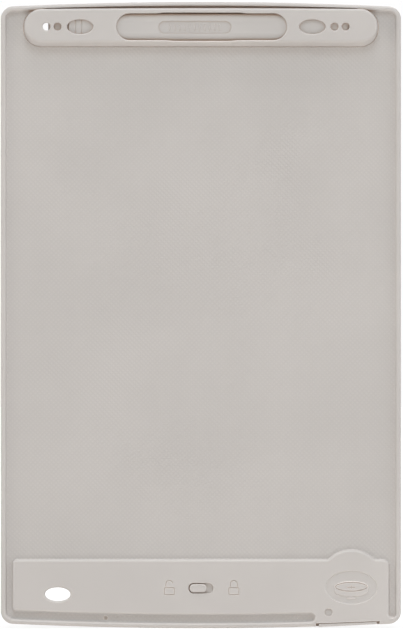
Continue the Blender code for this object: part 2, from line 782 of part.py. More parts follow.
def pod_cavity():
    """Hollow of the pod over the control board, joined to the drawer's bay."""
    bottom = bottom_edge(POD_LEFT, RIM_WIDTH + CHANNEL_WIDTH) + POD_SIDE_WALL
    return prism(
        rounded_rect(
            POD_LEFT + POD_SIDE_WALL, bottom, CELL_X, POD_TOP - POD_SIDE_WALL, BOARD_CORNER, ROUND_STEPS
        ),
        REAR_Z - OVERSHOOT,
        POD_ROOF,
    )


def notch_outline():
    """Bite out of the bottom edge in which the drawer's lip lies."""
    left = CELL_X - BAY_HALF
    right = CELL_X + BAY_HALF
    depth = LIP_THICKNESS + LIP_GAP
    upper = [(right, bottom_edge(right, depth))]
    upper += bow_arc(False, depth, right, left, ROUND_STEPS)
    upper += [(left, bottom_edge(left, depth))]
    return [(left, -OVERSHOOT), (right, -OVERSHOOT)] + upper


def rear_cover():
    cover = solid("rear_cover", round_top(body_outline(), REAR_Z, RIM_FACE, RIM_ROUND), finish=SHELL_FINISH)
    cut(cover, "panel_recess", recess_cutter())
    hood = round_top(hood_outline(), PANEL_FACE - MERGE, HOOD_FACE, HOOD_ROUND, HOOD_ROUND_STEPS)
    join(cover, "hood", hood)
    cut(cover, "pen_channel", prism(pen_slot_outline(), REAR_Z - OVERSHOOT, HOOD_ROOF_Z))
    cut(
        cover,
        "finger_reliefs",
        prism(relief_outline(UPPER_RELIEF, True), REAR_Z - OVERSHOOT, HOOD_ROOF_Z),
        prism(relief_outline(LOWER_RELIEF, False), REAR_Z - OVERSHOOT, HOOD_ROOF_Z),
    )
    cut(cover, "hood_openings", *hood_openings())
    cut(cover, "slit", prism(slit_outline(), REAR_Z - OVERSHOOT, HOOD_FACE + OVERSHOOT))
    cut(cover, "pod_cavity", pod_cavity())
    cut(cover, "drawer_bay", prism(bay_outline(), REAR_Z - OVERSHOOT, POD_ROOF))
    join(cover, "lanyard_collar", prism(grown(lanyard_outline(), COLLAR_WALL), REAR_Z, POD_ROOF + MERGE))
    join(cover, "snap_tabs", *snap_tabs())
    release = ellipse(RELEASE_X, RELEASE_Y, 2 * RELEASE_RADIUS, 2 * RELEASE_RADIUS)
    lock_slot = stadium(0.0, KEYS_Y, LOCK_SLOT_WIDTH, LOCK_SLOT_HEIGHT)
    dimple_y = bottom_edge(DIMPLE_X, RIM_WIDTH + CHANNEL_WIDTH / 2)
    dimple = ((DIMPLE_RADIUS, PANEL_FACE - DIMPLE_DEPTH), (DIMPLE_RADIUS, PANEL_FACE + DIMPLE_DEPTH))
    cut(
        cover,
        "pod_openings",
        back_hole(lanyard_outline(), REAR_Z - OVERSHOOT, RIM_FACE),
        back_hole(lock_slot, POD_ROOF - MERGE, RIM_FACE, EDGE_CHAMFER / 2),
        back_hole(release, POD_ROOF - MERGE, RIM_FACE),
        turned(DIMPLE_X, dimple_y, dimple, HOLE_STEPS // 2),
    )
    cut(cover, "drawer_notch", prism(notch_outline(), REAR_Z - OVERSHOOT, RIM_FACE + OVERSHOOT))
    return cover


def screen_stack():
    tape = solid(
        "lcd_tape",
        prism(screen_outline(STACK_OVERLAP - STACK_GAP), TAPE_Z, TAPE_Z + TAPE_THICKNESS),
        finish=TAPE_FINISH,
    )
    inner = screen_outline(STACK_OVERLAP - STACK_GAP - TAPE_WIDTH)
    cut(tape, "window", prism(inner, TAPE_Z - OVERSHOOT, TAPE_Z + OVERSHOOT))
    outline = screen_outline(STACK_OVERLAP)
    solid("lcd_panel", prism(outline, LCD_Z, LCD_Z + LCD_THICKNESS), finish=SCREEN_FINISH)
    solid("backing_sheet", prism(outline, BACKING_Z, BACKING_Z + BACKING_THICKNESS), finish=BLACK_FINISH)


def ribbon(path, thickness, place):
    """Strip with a bent section: path holds (along, depth), place puts a point at 0 or 1 across it."""
    upper = [(along, depth + thickness / 2) for along, depth in path]
    lower = [(along, depth - thickness / 2) for along, depth in reversed(path)]
    section = lower + upper
    return [[place(along, depth, side) for along, depth in section] for side in (0, 1)]


def lcd_tail():
    """Flat conductor from the lower edge of the screen to the control board."""
    start = SCREEN_BOTTOM - STACK_OVERLAP - STACK_GAP
    low = LCD_Z + LCD_THICKNESS / 2
    high = BOARD_Z - STACK_GAP - TAIL_STRIP_THICKNESS / 2
    path = (
        (start, low),
        (BOARD_TOP + TAIL_STRIP_LAP, low),
        (BOARD_TOP, high),
        (BOARD_TOP - TAIL_STRIP_LAP, high),
    )
    left = TAIL_STRIP_X - TAIL_STRIP_WIDTH / 2

    def place(along, depth, side):
        return left + side * TAIL_STRIP_WIDTH, along, depth

    solid("lcd_tail", ribbon(path, TAIL_STRIP_THICKNESS, place), finish=FILM_FINISH)


def control_board():
    outline = rounded_rect(BOARD_LEFT, BOARD_BOTTOM, BOARD_RIGHT, BOARD_TOP, BOARD_CORNER, ROUND_STEPS)
    board = solid("control_board", prism(outline, BOARD_Z, BOARD_BACK), finish=BOARD_FINISH)
    radius = SCREW_RADIUS + STACK_GAP
    bores = []
    for _, x, y in screw_places():
        bores.append(turned(x, y, ((radius, BOARD_Z - OVERSHOOT), (radius, BOARD_BACK + OVERSHOOT))))
    cut(board, "screw_holes", *bores)
    for side, x, y in screw_places():
        board_screw(side, x, y)
    middle = (BOARD_BOTTOM + BOARD_TOP) / 2
    low = BOARD_BACK + STACK_GAP
    chip = centred_rect(CHIP_X, middle, CHIP_SIDE, CHIP_SIDE, EDGE_CHAMFER, SMALL_STEPS)
    solid("controller_chip", prism(chip, low, low + CHIP_HEIGHT), finish=BLACK_FINISH)
    for index, name in enumerate(("boost_capacitor", "filter_capacitor")):
        x = CAPACITOR_X + index * CAPACITOR_PITCH
        outline = centred_rect(x, middle, CAPACITOR_WIDTH, CAPACITOR_LENGTH, EDGE_CHAMFER, SMALL_STEPS)
        solid(name, prism(outline, low, low + CAPACITOR_HEIGHT), finish=CERAMIC_FINISH)
    top = BOARD_Z - STACK_GAP
    coil = ((INDUCTOR_RADIUS, top - INDUCTOR_HEIGHT), (INDUCTOR_RADIUS, top))
    solid("boost_inductor", turned(INDUCTOR_X, middle, coil), finish=FERRITE_FINISH)


def board_screw(side, x, y):
    head = BOARD_BACK + STACK_GAP
    top = head + SCREW_HEAD_HEIGHT
    profile = (
        (SCREW_RADIUS, BOARD_BACK - SCREW_DEPTH),
        (SCREW_RADIUS, head),
        (SCREW_HEAD_RADIUS, head),
        (SCREW_HEAD_RADIUS, top - EDGE_CHAMFER),
        (SCREW_HEAD_RADIUS - EDGE_CHAMFER, top),
    )
    screw = solid(f"board_screw_{side}", turned(x, y, profile, HOLE_STEPS // 2), finish=STEEL_FINISH)
    recess = ((SCREW_SLOT_RADIUS, top - SCREW_RECESS), (SCREW_SLOT_RADIUS, top + OVERSHOOT))
    cut(screw, "recess", turned(x, y, recess, SOCKET_SIDES))


def erase_button():
    """Button, plunger and switch body, one behind the other from the front face to the board."""
    flange_z = FACE_WALL + STACK_GAP
    flange_end = flange_z + BUTTON_FLANGE_THICKNESS
    rings = round_bottom(button_outline(), BUTTON_RECESS, flange_z, BUTTON_ROUND)
    flange = button_outline(BUTTON_FLANGE)
    rings += [at_depth(flange, flange_z), at_depth(flange, flange_end)]
    centre = (0.0, KEYS_Y, flange_z)
    solid("erase_button", rings, finish=SHELL_FINISH, origin=centre)
    plunger_z = flange_end + STACK_GAP
    plunger = (
        (KEY_PLUNGER_RADIUS, plunger_z),
        (KEY_PLUNGER_RADIUS, plunger_z + KEY_PLUNGER_HEIGHT),
    )
    rings = turned(0.0, KEYS_Y, plunger, HOLE_STEPS // 2)
    solid("erase_switch_plunger", rings, finish=NIB_FINISH, origin=centre)
    top = BOARD_Z - STACK_GAP
    low = top - KEY_SWITCH_HEIGHT
    outline = centred_rect(0.0, KEYS_Y, KEY_SWITCH_SIDE, KEY_SWITCH_SIDE, EDGE_CHAMFER, SMALL_STEPS)
    body = solid("erase_switch_body", prism(outline, low, top), finish=STEEL_FINISH)
    bore = ((KEY_SWITCH_BORE, low - OVERSHOOT), (KEY_SWITCH_BORE, top + OVERSHOOT))
    cut(body, "bore", turned(0.0, KEYS_Y, bore, HOLE_STEPS // 2))


def lock_slider():
    """Knob in the pod's slot on a wider plate under the roof, with the contact wiper it carries."""
    plate_top = POD_ROOF - STACK_GAP
    plate_low = plate_top - LOCK_PLATE_THICKNESS
    centre = (LOCK_REST_X, KEYS_Y, plate_top)
    knob_outline = centred_rect(LOCK_REST_X, KEYS_Y, LOCK_KNOB_WIDTH, LOCK_KNOB_HEIGHT, LOCK_KNOB_CORNER)
    plate_outline = grown(knob_outline, LOCK_PLATE_MARGIN)
    rings = [at_depth(plate_outline, plate_low), at_depth(plate_outline, plate_top)]
    rings += round_top(knob_outline, plate_top, RIM_FACE + LOCK_KNOB_RISE, LOCK_KNOB_ROUND)
    solid("lock_slider", rings, finish=SHELL_FINISH, origin=centre)
    high = plate_low - STACK_GAP - WIPER_THICKNESS / 2
    low = high - WIPER_DROP
    half = WIPER_LENGTH / 2
    path = (
        (LOCK_REST_X - half, low),
        (LOCK_REST_X - half / 2, high),
        (LOCK_REST_X + half / 2, high),
        (LOCK_REST_X + half, low),
    )
    bottom = KEYS_Y - WIPER_WIDTH / 2

    def place(along, depth, side):
        return along, bottom + side * WIPER_WIDTH, depth

    solid("lock_wiper", ribbon(path, WIPER_THICKNESS, place), finish=BRASS_FINISH, origin=centre)


def tray_outline():
    """Tray block behind the lip, up to the step at the bay's round end."""
    left = CELL_X - TRAY_HALF
    right = CELL_X + TRAY_HALF
    depth = LIP_THICKNESS + LIP_GAP + FIT_GAP
    lower = [(left, bottom_edge(left, depth))]
    lower += bow_arc(False, depth, left, right, ROUND_STEPS)
    lower += [(right, bottom_edge(right, depth))]
    return lower + [(right, CELL_Y - FIT_GAP), (left, CELL_Y - FIT_GAP)]


def lip_outline(inner):
    """Lip along the bowed bottom edge, a little proud of it, back to an inset inside the edge."""
    left = CELL_X - LIP_WIDTH / 2
    right = CELL_X + LIP_WIDTH / 2
    lower = [(left, bottom_edge(left, -LIP_PROUD))]
    lower += bow_arc(False, -LIP_PROUD, left, right, ROUND_STEPS)
    lower += [(right, bottom_edge(right, -LIP_PROUD))]
    upper = [(right, bottom_edge(right, inner))]
    upper += bow_arc(False, inner, right, left, ROUND_STEPS)
    upper += [(left, bottom_edge(left, inner))]
    return lower + upper


def battery_drawer():
    centre = (CELL_X, CELL_Y, TRAY_Z)
    wall_top = TRAY_Z + TRAY_WALL_HEIGHT
    drawer = solid(
        "battery_drawer", prism(tray_outline(), TRAY_Z, wall_top), finish=SHELL_FINISH, origin=centre
    )
    lip_top = RIM_FACE - LIP_BELOW_FACE
    neck = LIP_THICKNESS + LIP_GAP + 2 * FIT_GAP
    join(drawer, "lip", round_top(lip_outline(LIP_THICKNESS), TRAY_Z, lip_top, LIP_ROUND, SMALL_STEPS))
    join(drawer, "neck", prism(lip_outline(neck), TRAY_Z, wall_top - STACK_GAP))
    floor = TRAY_Z + LEDGE_THICKNESS
    hollow = POCKET_RADIUS - LEDGE_WIDTH
    pocket = (
        (hollow, TRAY_Z - OVERSHOOT),
        (hollow, floor),
        (POCKET_RADIUS, floor),
        (POCKET_RADIUS, wall_top + OVERSHOOT),
    )
    cut(drawer, "cell_pocket", turned(CELL_X, CELL_Y, pocket, 2 * HOLE_STEPS))
    coin_cell(centre)


def coin_cell(centre):
    """Coin cell: the narrower cap faces the front, the can's flat face the back."""
    can = CELL_Z + CELL_CAP_RISE
    top = CELL_Z + CELL_THICKNESS
    profile = (
        (CELL_CAP_RADIUS - CELL_EDGE_ROUND, CELL_Z),
        (CELL_CAP_RADIUS, can),
        (CELL_RADIUS - CELL_EDGE_ROUND, can),
        (CELL_RADIUS, can + CELL_EDGE_ROUND),
        (CELL_RADIUS, top - CELL_EDGE_ROUND),
        (CELL_RADIUS - CELL_EDGE_ROUND, top),
    )
    rings = turned(CELL_X, CELL_Y, profile, 2 * HOLE_STEPS)
    solid("coin_cell", rings, finish=STEEL_FINISH, origin=centre)


def contact_strip(name, foot_z, leaf_z):
    """Spring strip from the board's right edge to a face of the coin cell."""
    bend = BOARD_RIGHT + STACK_GAP
    reach = CELL_X - math.sqrt(CELL_RADIUS**2 - (STRIP_Y + STRIP_WIDTH / 2 - CELL_Y) ** 2) + STRIP_REACH
    path = (
        (BOARD_RIGHT - STRIP_FOOT, foot_z),
        (bend, foot_z),
        (bend + abs(leaf_z - foot_z), leaf_z),
        (reach, leaf_z),
    )

    def place(along, depth, side):
        return along, STRIP_Y + side * STRIP_WIDTH, depth

    solid(name, ribbon(path, STRIP_THICKNESS, place), finish=BRASS_FINISH)


def cell_contacts():
    half = STRIP_THICKNESS / 2
    contact_strip("positive_contact", BOARD_BACK + STACK_GAP + half, POSITIVE_Z + half)
    contact_strip("negative_contact", BOARD_Z - STACK_GAP - half, CELL_Z - STACK_GAP - half)


def pen_ring(x, half_width, half_depth, squareness=PEN_SQUARENESS):
    """Section of the pen across its axis: a rounded, slightly squared oval."""
    points = []
    power = 2 / squareness
    for step in range(PEN_STEPS):
        angle = 2 * math.pi * (step + 0.5) / PEN_STEPS
        across = math.cos(angle)
        deep = math.sin(angle)
        y = PEN_AXIS + half_width * math.copysign(abs(across) ** power, across)
        z = PEN_Z + half_depth * math.copysign(abs(deep) ** power, deep)
        points.append((x, y, z))
    return points


def rod(start_x, end_x, radius):
    return [pen_ring(x, radius, radius, ROUND_SECTION) for x in (start_x, end_x)]


def pen_barrel(centre):
    half_width = PEN_WIDTH / 2
    half_depth = PEN_DEPTH / 2
    stations = [(BARREL_START_X, GROOVE_DEPTH), (BARREL_START_X + GROOVE_DEPTH, 0.0)]
    for x in GROOVES_X:
        start = x - GROOVE_WIDTH / 2
        end = x + GROOVE_WIDTH / 2
        stations += [(start, 0.0), (start, GROOVE_DEPTH), (end, GROOVE_DEPTH), (end, 0.0)]
    stations.append((CONE_START_X, 0.0))
    rings = [pen_ring(x, half_width - inset, half_depth - inset) for x, inset in stations]
    taper_steps = 2 * ROUND_STEPS
    for step in range(1, taper_steps + 1):
        share = step / taper_steps
        x = CONE_START_X + share * (CONE_END_X - CONE_START_X)
        narrow = share**CONE_POWER
        width = half_width + narrow * (CONE_TIP_RADIUS - half_width)
        depth = half_depth + narrow * (CONE_TIP_RADIUS - half_depth)
        squareness = PEN_SQUARENESS + share * (ROUND_SECTION - PEN_SQUARENESS)
        rings.append(pen_ring(x, width, depth, squareness))
    barrel = solid("pen_barrel", rings, finish=PEN_FINISH, origin=centre)
    label = stadium(LABEL_X, PEN_AXIS, LABEL_LENGTH, LABEL_HEIGHT, ROUND_STEPS)
    back = PEN_FRONT + PEN_DEPTH
    cut(
        barrel,
        "sockets",
        prism(label, back - LABEL_DEPTH, back + OVERSHOOT),
        rod(
            BARREL_START_X - OVERSHOOT,
            BARREL_START_X + TAIL_STEM_LENGTH + FIT_GAP,
            TAIL_STEM_RADIUS + STACK_GAP,
        ),
        rod(CONE_END_X - NIB_STEM_LENGTH - FIT_GAP, CONE_END_X + OVERSHOOT, NIB_RADIUS + STACK_GAP),
    )


def pen_nib(centre):
    rings = rod(CONE_END_X - NIB_STEM_LENGTH, NIB_END_X - NIB_RADIUS, NIB_RADIUS)
    for step in range(1, ROUND_STEPS):
        angle = math.pi / 2 * step / ROUND_STEPS
        radius = NIB_RADIUS * math.cos(angle)
        x = NIB_END_X - NIB_RADIUS * (1 - math.sin(angle))
        rings.append(pen_ring(x, radius, radius, ROUND_SECTION))
    tip = NIB_RADIUS / (2 * ROUND_STEPS)
    rings.append(pen_ring(NIB_END_X, tip, tip, ROUND_SECTION))
    solid("pen_nib", rings, finish=NIB_FINISH, origin=centre)


def pen_tail_plug(centre):
    half_width = TAIL_WIDTH / 2
    half_depth = TAIL_DEPTH / 2
    end = BARREL_START_X - STACK_GAP
    rings = [
        pen_ring(PEN_TAIL_X, half_width - EDGE_CHAMFER, half_depth - EDGE_CHAMFER),
        pen_ring(PEN_TAIL_X + EDGE_CHAMFER, half_width, half_depth),
        pen_ring(end, half_width, half_depth),
    ]
    rings += rod(end, BARREL_START_X + TAIL_STEM_LENGTH, TAIL_STEM_RADIUS)
    solid("pen_tail_plug", rings, finish=PEN_FINISH, origin=centre)


def pen():
    centre = (0.0, PEN_AXIS, PEN_Z)
    pen_barrel(centre)
    pen_nib(centre)
    pen_tail_plug(centre)


def clear_scene():
    for existing in list(bpy.data.objects):
        bpy.data.objects.remove(existing, do_unlink=True)


def stand_upright():
    """Empty that stands the design frame up, centred over its footprint with the back facing -Y."""
    tablet = bpy.data.objects.new("tablet", None)
    bpy.context.scene.collection.objects.link(tablet)
    tablet.rotation_euler = (math.pi / 2, 0.0, 0.0)
    tablet.location = (0.0, HOOD_FACE / 2, 0.0)


def main():
    clear_scene()
    stand_upright()
    front_frame()
    rear_cover()
    screen_stack()
    lcd_tail()
    control_board()
    erase_button()
    lock_slider()
    battery_drawer()
    cell_contacts()
    pen()


if __name__ == "__main__":
    main()
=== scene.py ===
"""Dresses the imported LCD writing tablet: finer shells, pen, keys and drawer, their finishes and a studio.

Lengths are in metres. Shapes are drawn as the tablet is seen from its back: x to the right, y up from the
bottom edge, z from the front face towards the back. place() turns such a point into the frame's own axes.
"""

import logging
import math
from dataclasses import dataclass
from enum import Enum

import bmesh
import bpy
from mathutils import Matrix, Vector
from mathutils.geometry import delaunay_2d_cdt

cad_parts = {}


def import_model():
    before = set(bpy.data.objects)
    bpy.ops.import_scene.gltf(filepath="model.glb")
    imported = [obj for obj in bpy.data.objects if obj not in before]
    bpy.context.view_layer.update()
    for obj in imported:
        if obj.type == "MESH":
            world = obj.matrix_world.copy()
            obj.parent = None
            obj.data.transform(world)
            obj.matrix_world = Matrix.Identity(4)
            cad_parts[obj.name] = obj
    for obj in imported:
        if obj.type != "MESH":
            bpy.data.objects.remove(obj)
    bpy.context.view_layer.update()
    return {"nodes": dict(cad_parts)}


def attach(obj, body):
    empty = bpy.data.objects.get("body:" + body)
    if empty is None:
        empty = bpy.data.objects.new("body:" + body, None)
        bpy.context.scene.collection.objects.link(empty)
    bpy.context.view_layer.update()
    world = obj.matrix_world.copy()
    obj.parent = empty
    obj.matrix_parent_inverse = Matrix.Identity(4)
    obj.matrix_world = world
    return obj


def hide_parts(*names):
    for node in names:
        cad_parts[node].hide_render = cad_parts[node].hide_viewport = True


LOG = logging.getLogger("writing_tablet")

Pair = tuple[float, float]
Triple = tuple[float, float, float]
Point = Pair
Outline = list[Point]
Ring = list[Triple]
Colour = Triple
Socket = bpy.types.NodeSocket
Material = bpy.types.Material

CORNER_STEPS = 12
ROUND_STEPS = 7
SMALL_STEPS = 4
HOLE_STEPS = 64
SMALL_HOLE_STEPS = 32
DIMPLE_STEPS = 21
BOW_STEPS = 40
OVERSHOOT = 0.0010
MERGE = 0.0003
FIT_GAP = 0.0003
STACK_GAP = 0.00015
# Width of a groove at its floor and at its mouth, as shares of its middle width.
GROOVE_FLOOR = 0.5
GROOVE_MOUTH = 1.5
SHARP_ANGLE = math.radians(33)
FACE_WEIGHT = 100
QUAD_CORNERS = 4
HAIRLINE = 0.000001
FLAT_SCALE = 1000.0
FLAT_HAIRLINE = 0.0000001
INSIDE_OUTLINE = 1


class Edge(Enum):
    """The two bowed edges of the tablet."""

    TOP = "top"
    BOTTOM = "bottom"


class Side(Enum):
    """Left and right as seen from the back, with the sign of x there."""

    LEFT = -1
    RIGHT = 1


class Facing(Enum):
    """Where a face looks, with the sign that depth has on the way there."""

    BACK = 1
    FRONT = -1


class Body(Enum):
    """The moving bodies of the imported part."""

    TABLET = "tablet"
    PEN = "pen"
    ERASER = "eraser"
    LOCK = "lock"
    DRAWER = "drawer"


@dataclass(frozen=True)
class Depths:
    """Depths of the layers, from the front face towards the back."""

    face_wall: float = 0.0011
    front_edge: float = 0.0029
    rear_edge: float = 0.0031
    panel: float = 0.0045
    pod_roof: float = 0.00505
    rim: float = 0.0061
    hood_roof: float = 0.00725
    hood: float = 0.0082


DEPTH = Depths()


def place(x: float, y: float, z: float) -> Vector:
    """A point of the tablet's drawing in the axes of the frame."""
    return Vector((x, DEPTH.hood / 2 - z, y))


def arc(centre: Point, radius: float, start: float, end: float, steps: int = CORNER_STEPS) -> Outline:
    """Points along an arc between two angles in degrees, both included; clockwise where they fall."""
    angles = [math.radians(start + (end - start) * step / steps) for step in range(steps + 1)]
    return [(centre[0] + radius * math.cos(angle), centre[1] + radius * math.sin(angle)) for angle in angles]


def arc_radius(half: float, rise: float) -> float:
    """Radius of an arc over half a chord with a rise."""
    return (half**2 + rise**2) / (2 * rise)


def quarter(steps: int) -> list[Point]:
    """Points along a quarter round: how far each has come in from the wall, and is still from the face."""
    angles = [math.pi / 2 * step / steps for step in range(steps + 1)]
    return [(1 - math.cos(angle), 1 - math.sin(angle)) for angle in angles]


def ellipse(centre: Point, width: float, height: float, steps: int = HOLE_STEPS) -> Outline:
    """A closed ellipse, anticlockwise.

    Args:
        centre: Its middle.
        width: Its full width.
        height: Its full height.
        steps: Number of points.

    Returns:
        The closed outline.
    """
    points = []
    for step in range(steps):
        angle = 2 * math.pi * step / steps
        points.append((centre[0] + width / 2 * math.cos(angle), centre[1] + height / 2 * math.sin(angle)))
    return points


def rounded_box(low: Point, high: Point, radius: float, steps: int = CORNER_STEPS) -> Outline:
    """A rectangle with round corners, anticlockwise.

    Args:
        low: Lower left corner.
        high: Upper right corner.
        radius: Radius of the corners.
        steps: Straight pieces of each corner.

    Returns:
        The closed outline.
    """
    left, bottom = low[0] + radius, low[1] + radius
    right, top = high[0] - radius, high[1] - radius
    return (
        arc((right, bottom), radius, 270, 360, steps)
        + arc((right, top), radius, 0, 90, steps)
        + arc((left, top), radius, 90, 180, steps)
        + arc((left, bottom), radius, 180, 270, steps)
    )


def centred_box(
    centre: Point, width: float, height: float, radius: float, steps: int = SMALL_STEPS
) -> Outline:
    """A rectangle with round corners about its middle.

    Args:
        centre: Its middle.
        width: Its full width.
        height: Its full height.
        radius: Radius of the corners.
        steps: Straight pieces of each corner.

    Returns:
        The closed outline.
    """
    low = (centre[0] - width / 2, centre[1] - height / 2)
    high = (centre[0] + width / 2, centre[1] + height / 2)
    return rounded_box(low, high, radius, steps)


def stadium(centre: Point, width: float, height: float, steps: int = CORNER_STEPS) -> Outline:
    """A slot with fully round ends, anticlockwise.

    Args:
        centre: Its middle.
        width: Its full width.
        height: Its height, and twice the radius of its ends.
        steps: Straight pieces of a quarter of an end.

    Returns:
        The closed outline.
    """
    radius = height / 2
    reach = (width - height) / 2
    right = arc((centre[0] + reach, centre[1]), radius, -90, 90, 2 * steps)
    left = arc((centre[0] - reach, centre[1]), radius, 90, 270, 2 * steps)
    return right + left


def upright_stadium(centre: Point, width: float, height: float) -> Outline:
    """A slot with round ends that stands upright, anticlockwise."""
    lying = stadium((centre[1], -centre[0]), height, width, SMALL_STEPS)
    return [(-y, x) for x, y in lying]


def plain_box(left: float, bottom: float, right: float, top: float) -> Outline:
    """A rectangle with sharp corners, anticlockwise."""
    return [(left, bottom), (right, bottom), (right, top), (left, top)]


def plus_sign(centre: Point, size: Pair, line: float) -> Outline:
    """Outline of a plus sign, anticlockwise.

    Args:
        centre: Its middle.
        size: Its full width and height.
        line: Width of its bars.

    Returns:
        The closed outline.
    """
    reach, rise, half = size[0] / 2, size[1] / 2, line / 2
    corners = [(reach, -half), (reach, half), (half, half), (half, rise), (-half, rise), (-half, half)]
    corners += [(-x, -y) for x, y in corners]
    return [(centre[0] + x, centre[1] + y) for x, y in corners]


def grown(outline: Outline, distance: float) -> Outline:
    """An anticlockwise outline moved outwards, corner by corner.

    Args:
        outline: The closed outline.
        distance: How far it moves; below 0 it moves inwards.

    Returns:
        The moved outline, with as many points.
    """
    moved = []
    count = len(outline)
    for index, (x, y) in enumerate(outline):
        before = outline[index - 1]
        after = outline[(index + 1) % count]
        normals = []
        for (x0, y0), (x1, y1) in ((before, (x, y)), ((x, y), after)):
            length = math.hypot(x1 - x0, y1 - y0)
            normals.append(((y1 - y0) / length, (x0 - x1) / length))
        (ax, ay), (bx, by) = normals
        share = distance / (1 + ax * bx + ay * by)
        moved.append((x + share * (ax + bx), y + share * (ay + by)))
    return moved


def level(outline: Outline, depth: float, growth: float = 0.0) -> Ring:
    """An outline laid at one depth, moved outwards by a growth."""
    points = grown(outline, growth) if growth else outline
    return [(x, y, depth) for x, y in points]


@dataclass
class Loft:
    """A closed surface through rings of equally many points.

    Attributes:
        rings: The rings in order.
        looped: Whether the last ring joins the first one, so that there are no end caps.
    """

    rings: list[Ring]
    looped: bool = False

    def skin(self, shape: bmesh.types.BMesh) -> None:
        """Adds the surface to a mesh.

        Args:
            shape: The mesh under construction.
        """
        rows = [[shape.verts.new(place(*point)) for point in ring] for ring in self.rings]
        pairs = list(zip(rows, rows[1:]))
        if self.looped:
            pairs.append((rows[-1], rows[0]))
        for lower, upper in pairs:
            for index in range(len(lower)):
                after = (index + 1) % len(lower)
                shape.faces.new((lower[index], lower[after], upper[after], upper[index]))
        if not self.looped:
            shape.faces.new(list(reversed(rows[0])))
            shape.faces.new(rows[-1])


def prism(outline: Outline, low: float, high: float) -> Loft:
    """A straight block between two depths."""
    return Loft([level(outline, low), level(outline, high)])


def rounded_edge(
    outline: Outline, face: float, radius: float, facing: Facing, steps: int = ROUND_STEPS
) -> list[Ring]:
    """Rings of an edge that rounds over from the outline of a wall onto a face."""
    rise = facing.value * radius
    return [level(outline, face - rise * below, -radius * inward) for inward, below in quarter(steps)]


@dataclass(frozen=True)
class Flank:
    """Side of a raised form: how far its wall leans in, and the size of the round at its top edge."""

    lean: float
    round_in: float
    round_down: float

    def mixed(self, other: "Flank", share: float) -> "Flank":
        """A flank between two.

        Args:
            other: The other flank.
            share: How much of the other one it has.

        Returns:
            The flank between them.
        """
        return Flank(
            self.lean + share * (other.lean - self.lean),
            self.round_in + share * (other.round_in - self.round_in),
            self.round_down + share * (other.round_down - self.round_down),
        )

    def at(self, share: float, height: float) -> Pair:
        """A point of the top round.

        Args:
            share: How far along the round it lies, from the wall to the face.
            height: Height of the raised form.

        Returns:
            Its inset from the foot line and its drop below the face.
        """
        corner = self.lean * height / (height - self.round_down)
        rest = 1 - share
        inset = rest**2 * self.lean + 2 * share * rest * corner + share**2 * (corner + self.round_in)
        return inset, rest**2 * self.round_down


def raised(outline: Outline, floor: float, face: float, flanks: list[Flank], steps: int) -> list[Ring]:
    """Rings of a raised form whose flank changes along its outline.

    Args:
        outline: Foot line of the form.
        floor: Depth that it rises from.
        face: Depth of its face.
        flanks: The flank at each point of the outline.
        steps: Rings of the top round.

    Returns:
        The rings from the foot to the face.
    """
    unit = grown(outline, -1.0)
    rings = [level(outline, floor)]
    for step in range(steps + 1):
        ring = []
        for (x, y), (unit_x, unit_y), flank in zip(outline, unit, flanks):
            inset, drop = flank.at(step / steps, face - floor)
            ring.append((x + inset * (unit_x - x), y + inset * (unit_y - y), face - drop))
        rings.append(ring)
    return rings


def mouth(
    outline: Outline, face: float, radius: float, facing: Facing, steps: int = SMALL_STEPS
) -> list[Ring]:
    """Rings of a cutter that rounds the edge of a hole where it meets a face.

    Args:
        outline: Outline of the hole.
        face: Depth of the face.
        radius: Radius of the edge.
        facing: Where the face looks.
        steps: Rings of the round.

    Returns:
        The rings from the hole outwards, the last one a little above the face.
    """
    rise = facing.value * radius
    rings = [level(outline, face - rise * below, radius * outward) for outward, below in quarter(steps)[:-1]]
    return rings + [level(outline, face + rise / steps, radius)]


def fillet(outline: Outline, floor: float, radius: float, spread: int) -> list[Ring]:
    """Rings of a fillet from a floor up a wall: outside its outline with a spread of 1, inside with -1."""
    reach = spread * radius
    return [level(outline, floor + radius * up, reach * out) for up, out in quarter(SMALL_STEPS)]


def hole(outline: Outline, inner: float, face: float, radius: float, facing: Facing) -> Loft:
    """Cutter for a hole with a rounded mouth in one face."""
    return Loft([level(outline, inner)] + mouth(outline, face, radius, facing))


def turned(centre: Point, profile: list[Point], steps: int = HOLE_STEPS) -> Loft:
    """A turned piece whose axis runs through the tablet; the profile holds (radius, depth)."""
    return Loft([level(ellipse(centre, 2 * radius, 2 * radius, steps), depth) for radius, depth in profile])


def groove_ring(outline: Outline, face: float, width: float, depth: float) -> Loft:
    """Cutter for a narrow groove along a closed outline, wider at the face than at its floor.

    Args:
        outline: Middle line of the groove.
        face: Depth of the face that it is cut into.
        width: Its width at the face.
        depth: How deep it goes.

    Returns:
        The cutter.
    """
    floor, above = face - depth, face + depth
    narrow, wide = width * GROOVE_FLOOR / 2, width * GROOVE_MOUTH / 2
    outer = [level(outline, floor, narrow), level(outline, above, wide)]
    inner = [level(outline, above, -wide), level(outline, floor, -narrow)]
    return Loft(outer + inner, looped=True)


def stroke(path: Outline, width: float) -> Outline:
    """Outline of a line with a width.

    Args:
        path: The open path that it follows.
        width: Its width.

    Returns:
        The closed outline.
    """
    left, right = [], []
    for index, (x, y) in enumerate(path):
        before = path[max(index - 1, 0)]
        after = path[min(index + 1, len(path) - 1)]
        along = Vector((after[0] - before[0], after[1] - before[1])).normalized()
        left.append((x - along.y * width / 2, y + along.x * width / 2))
        right.append((x + along.y * width / 2, y - along.x * width / 2))
    return right + left[::-1]


def groove(path: Outline, face: float, width: float, depth: float) -> Loft:
    """Cutter for a narrow groove along an open path."""
    floor = level(stroke(path, width * GROOVE_FLOOR), face - depth)
    return Loft([floor, level(stroke(path, width * GROOVE_MOUTH), face + depth)])


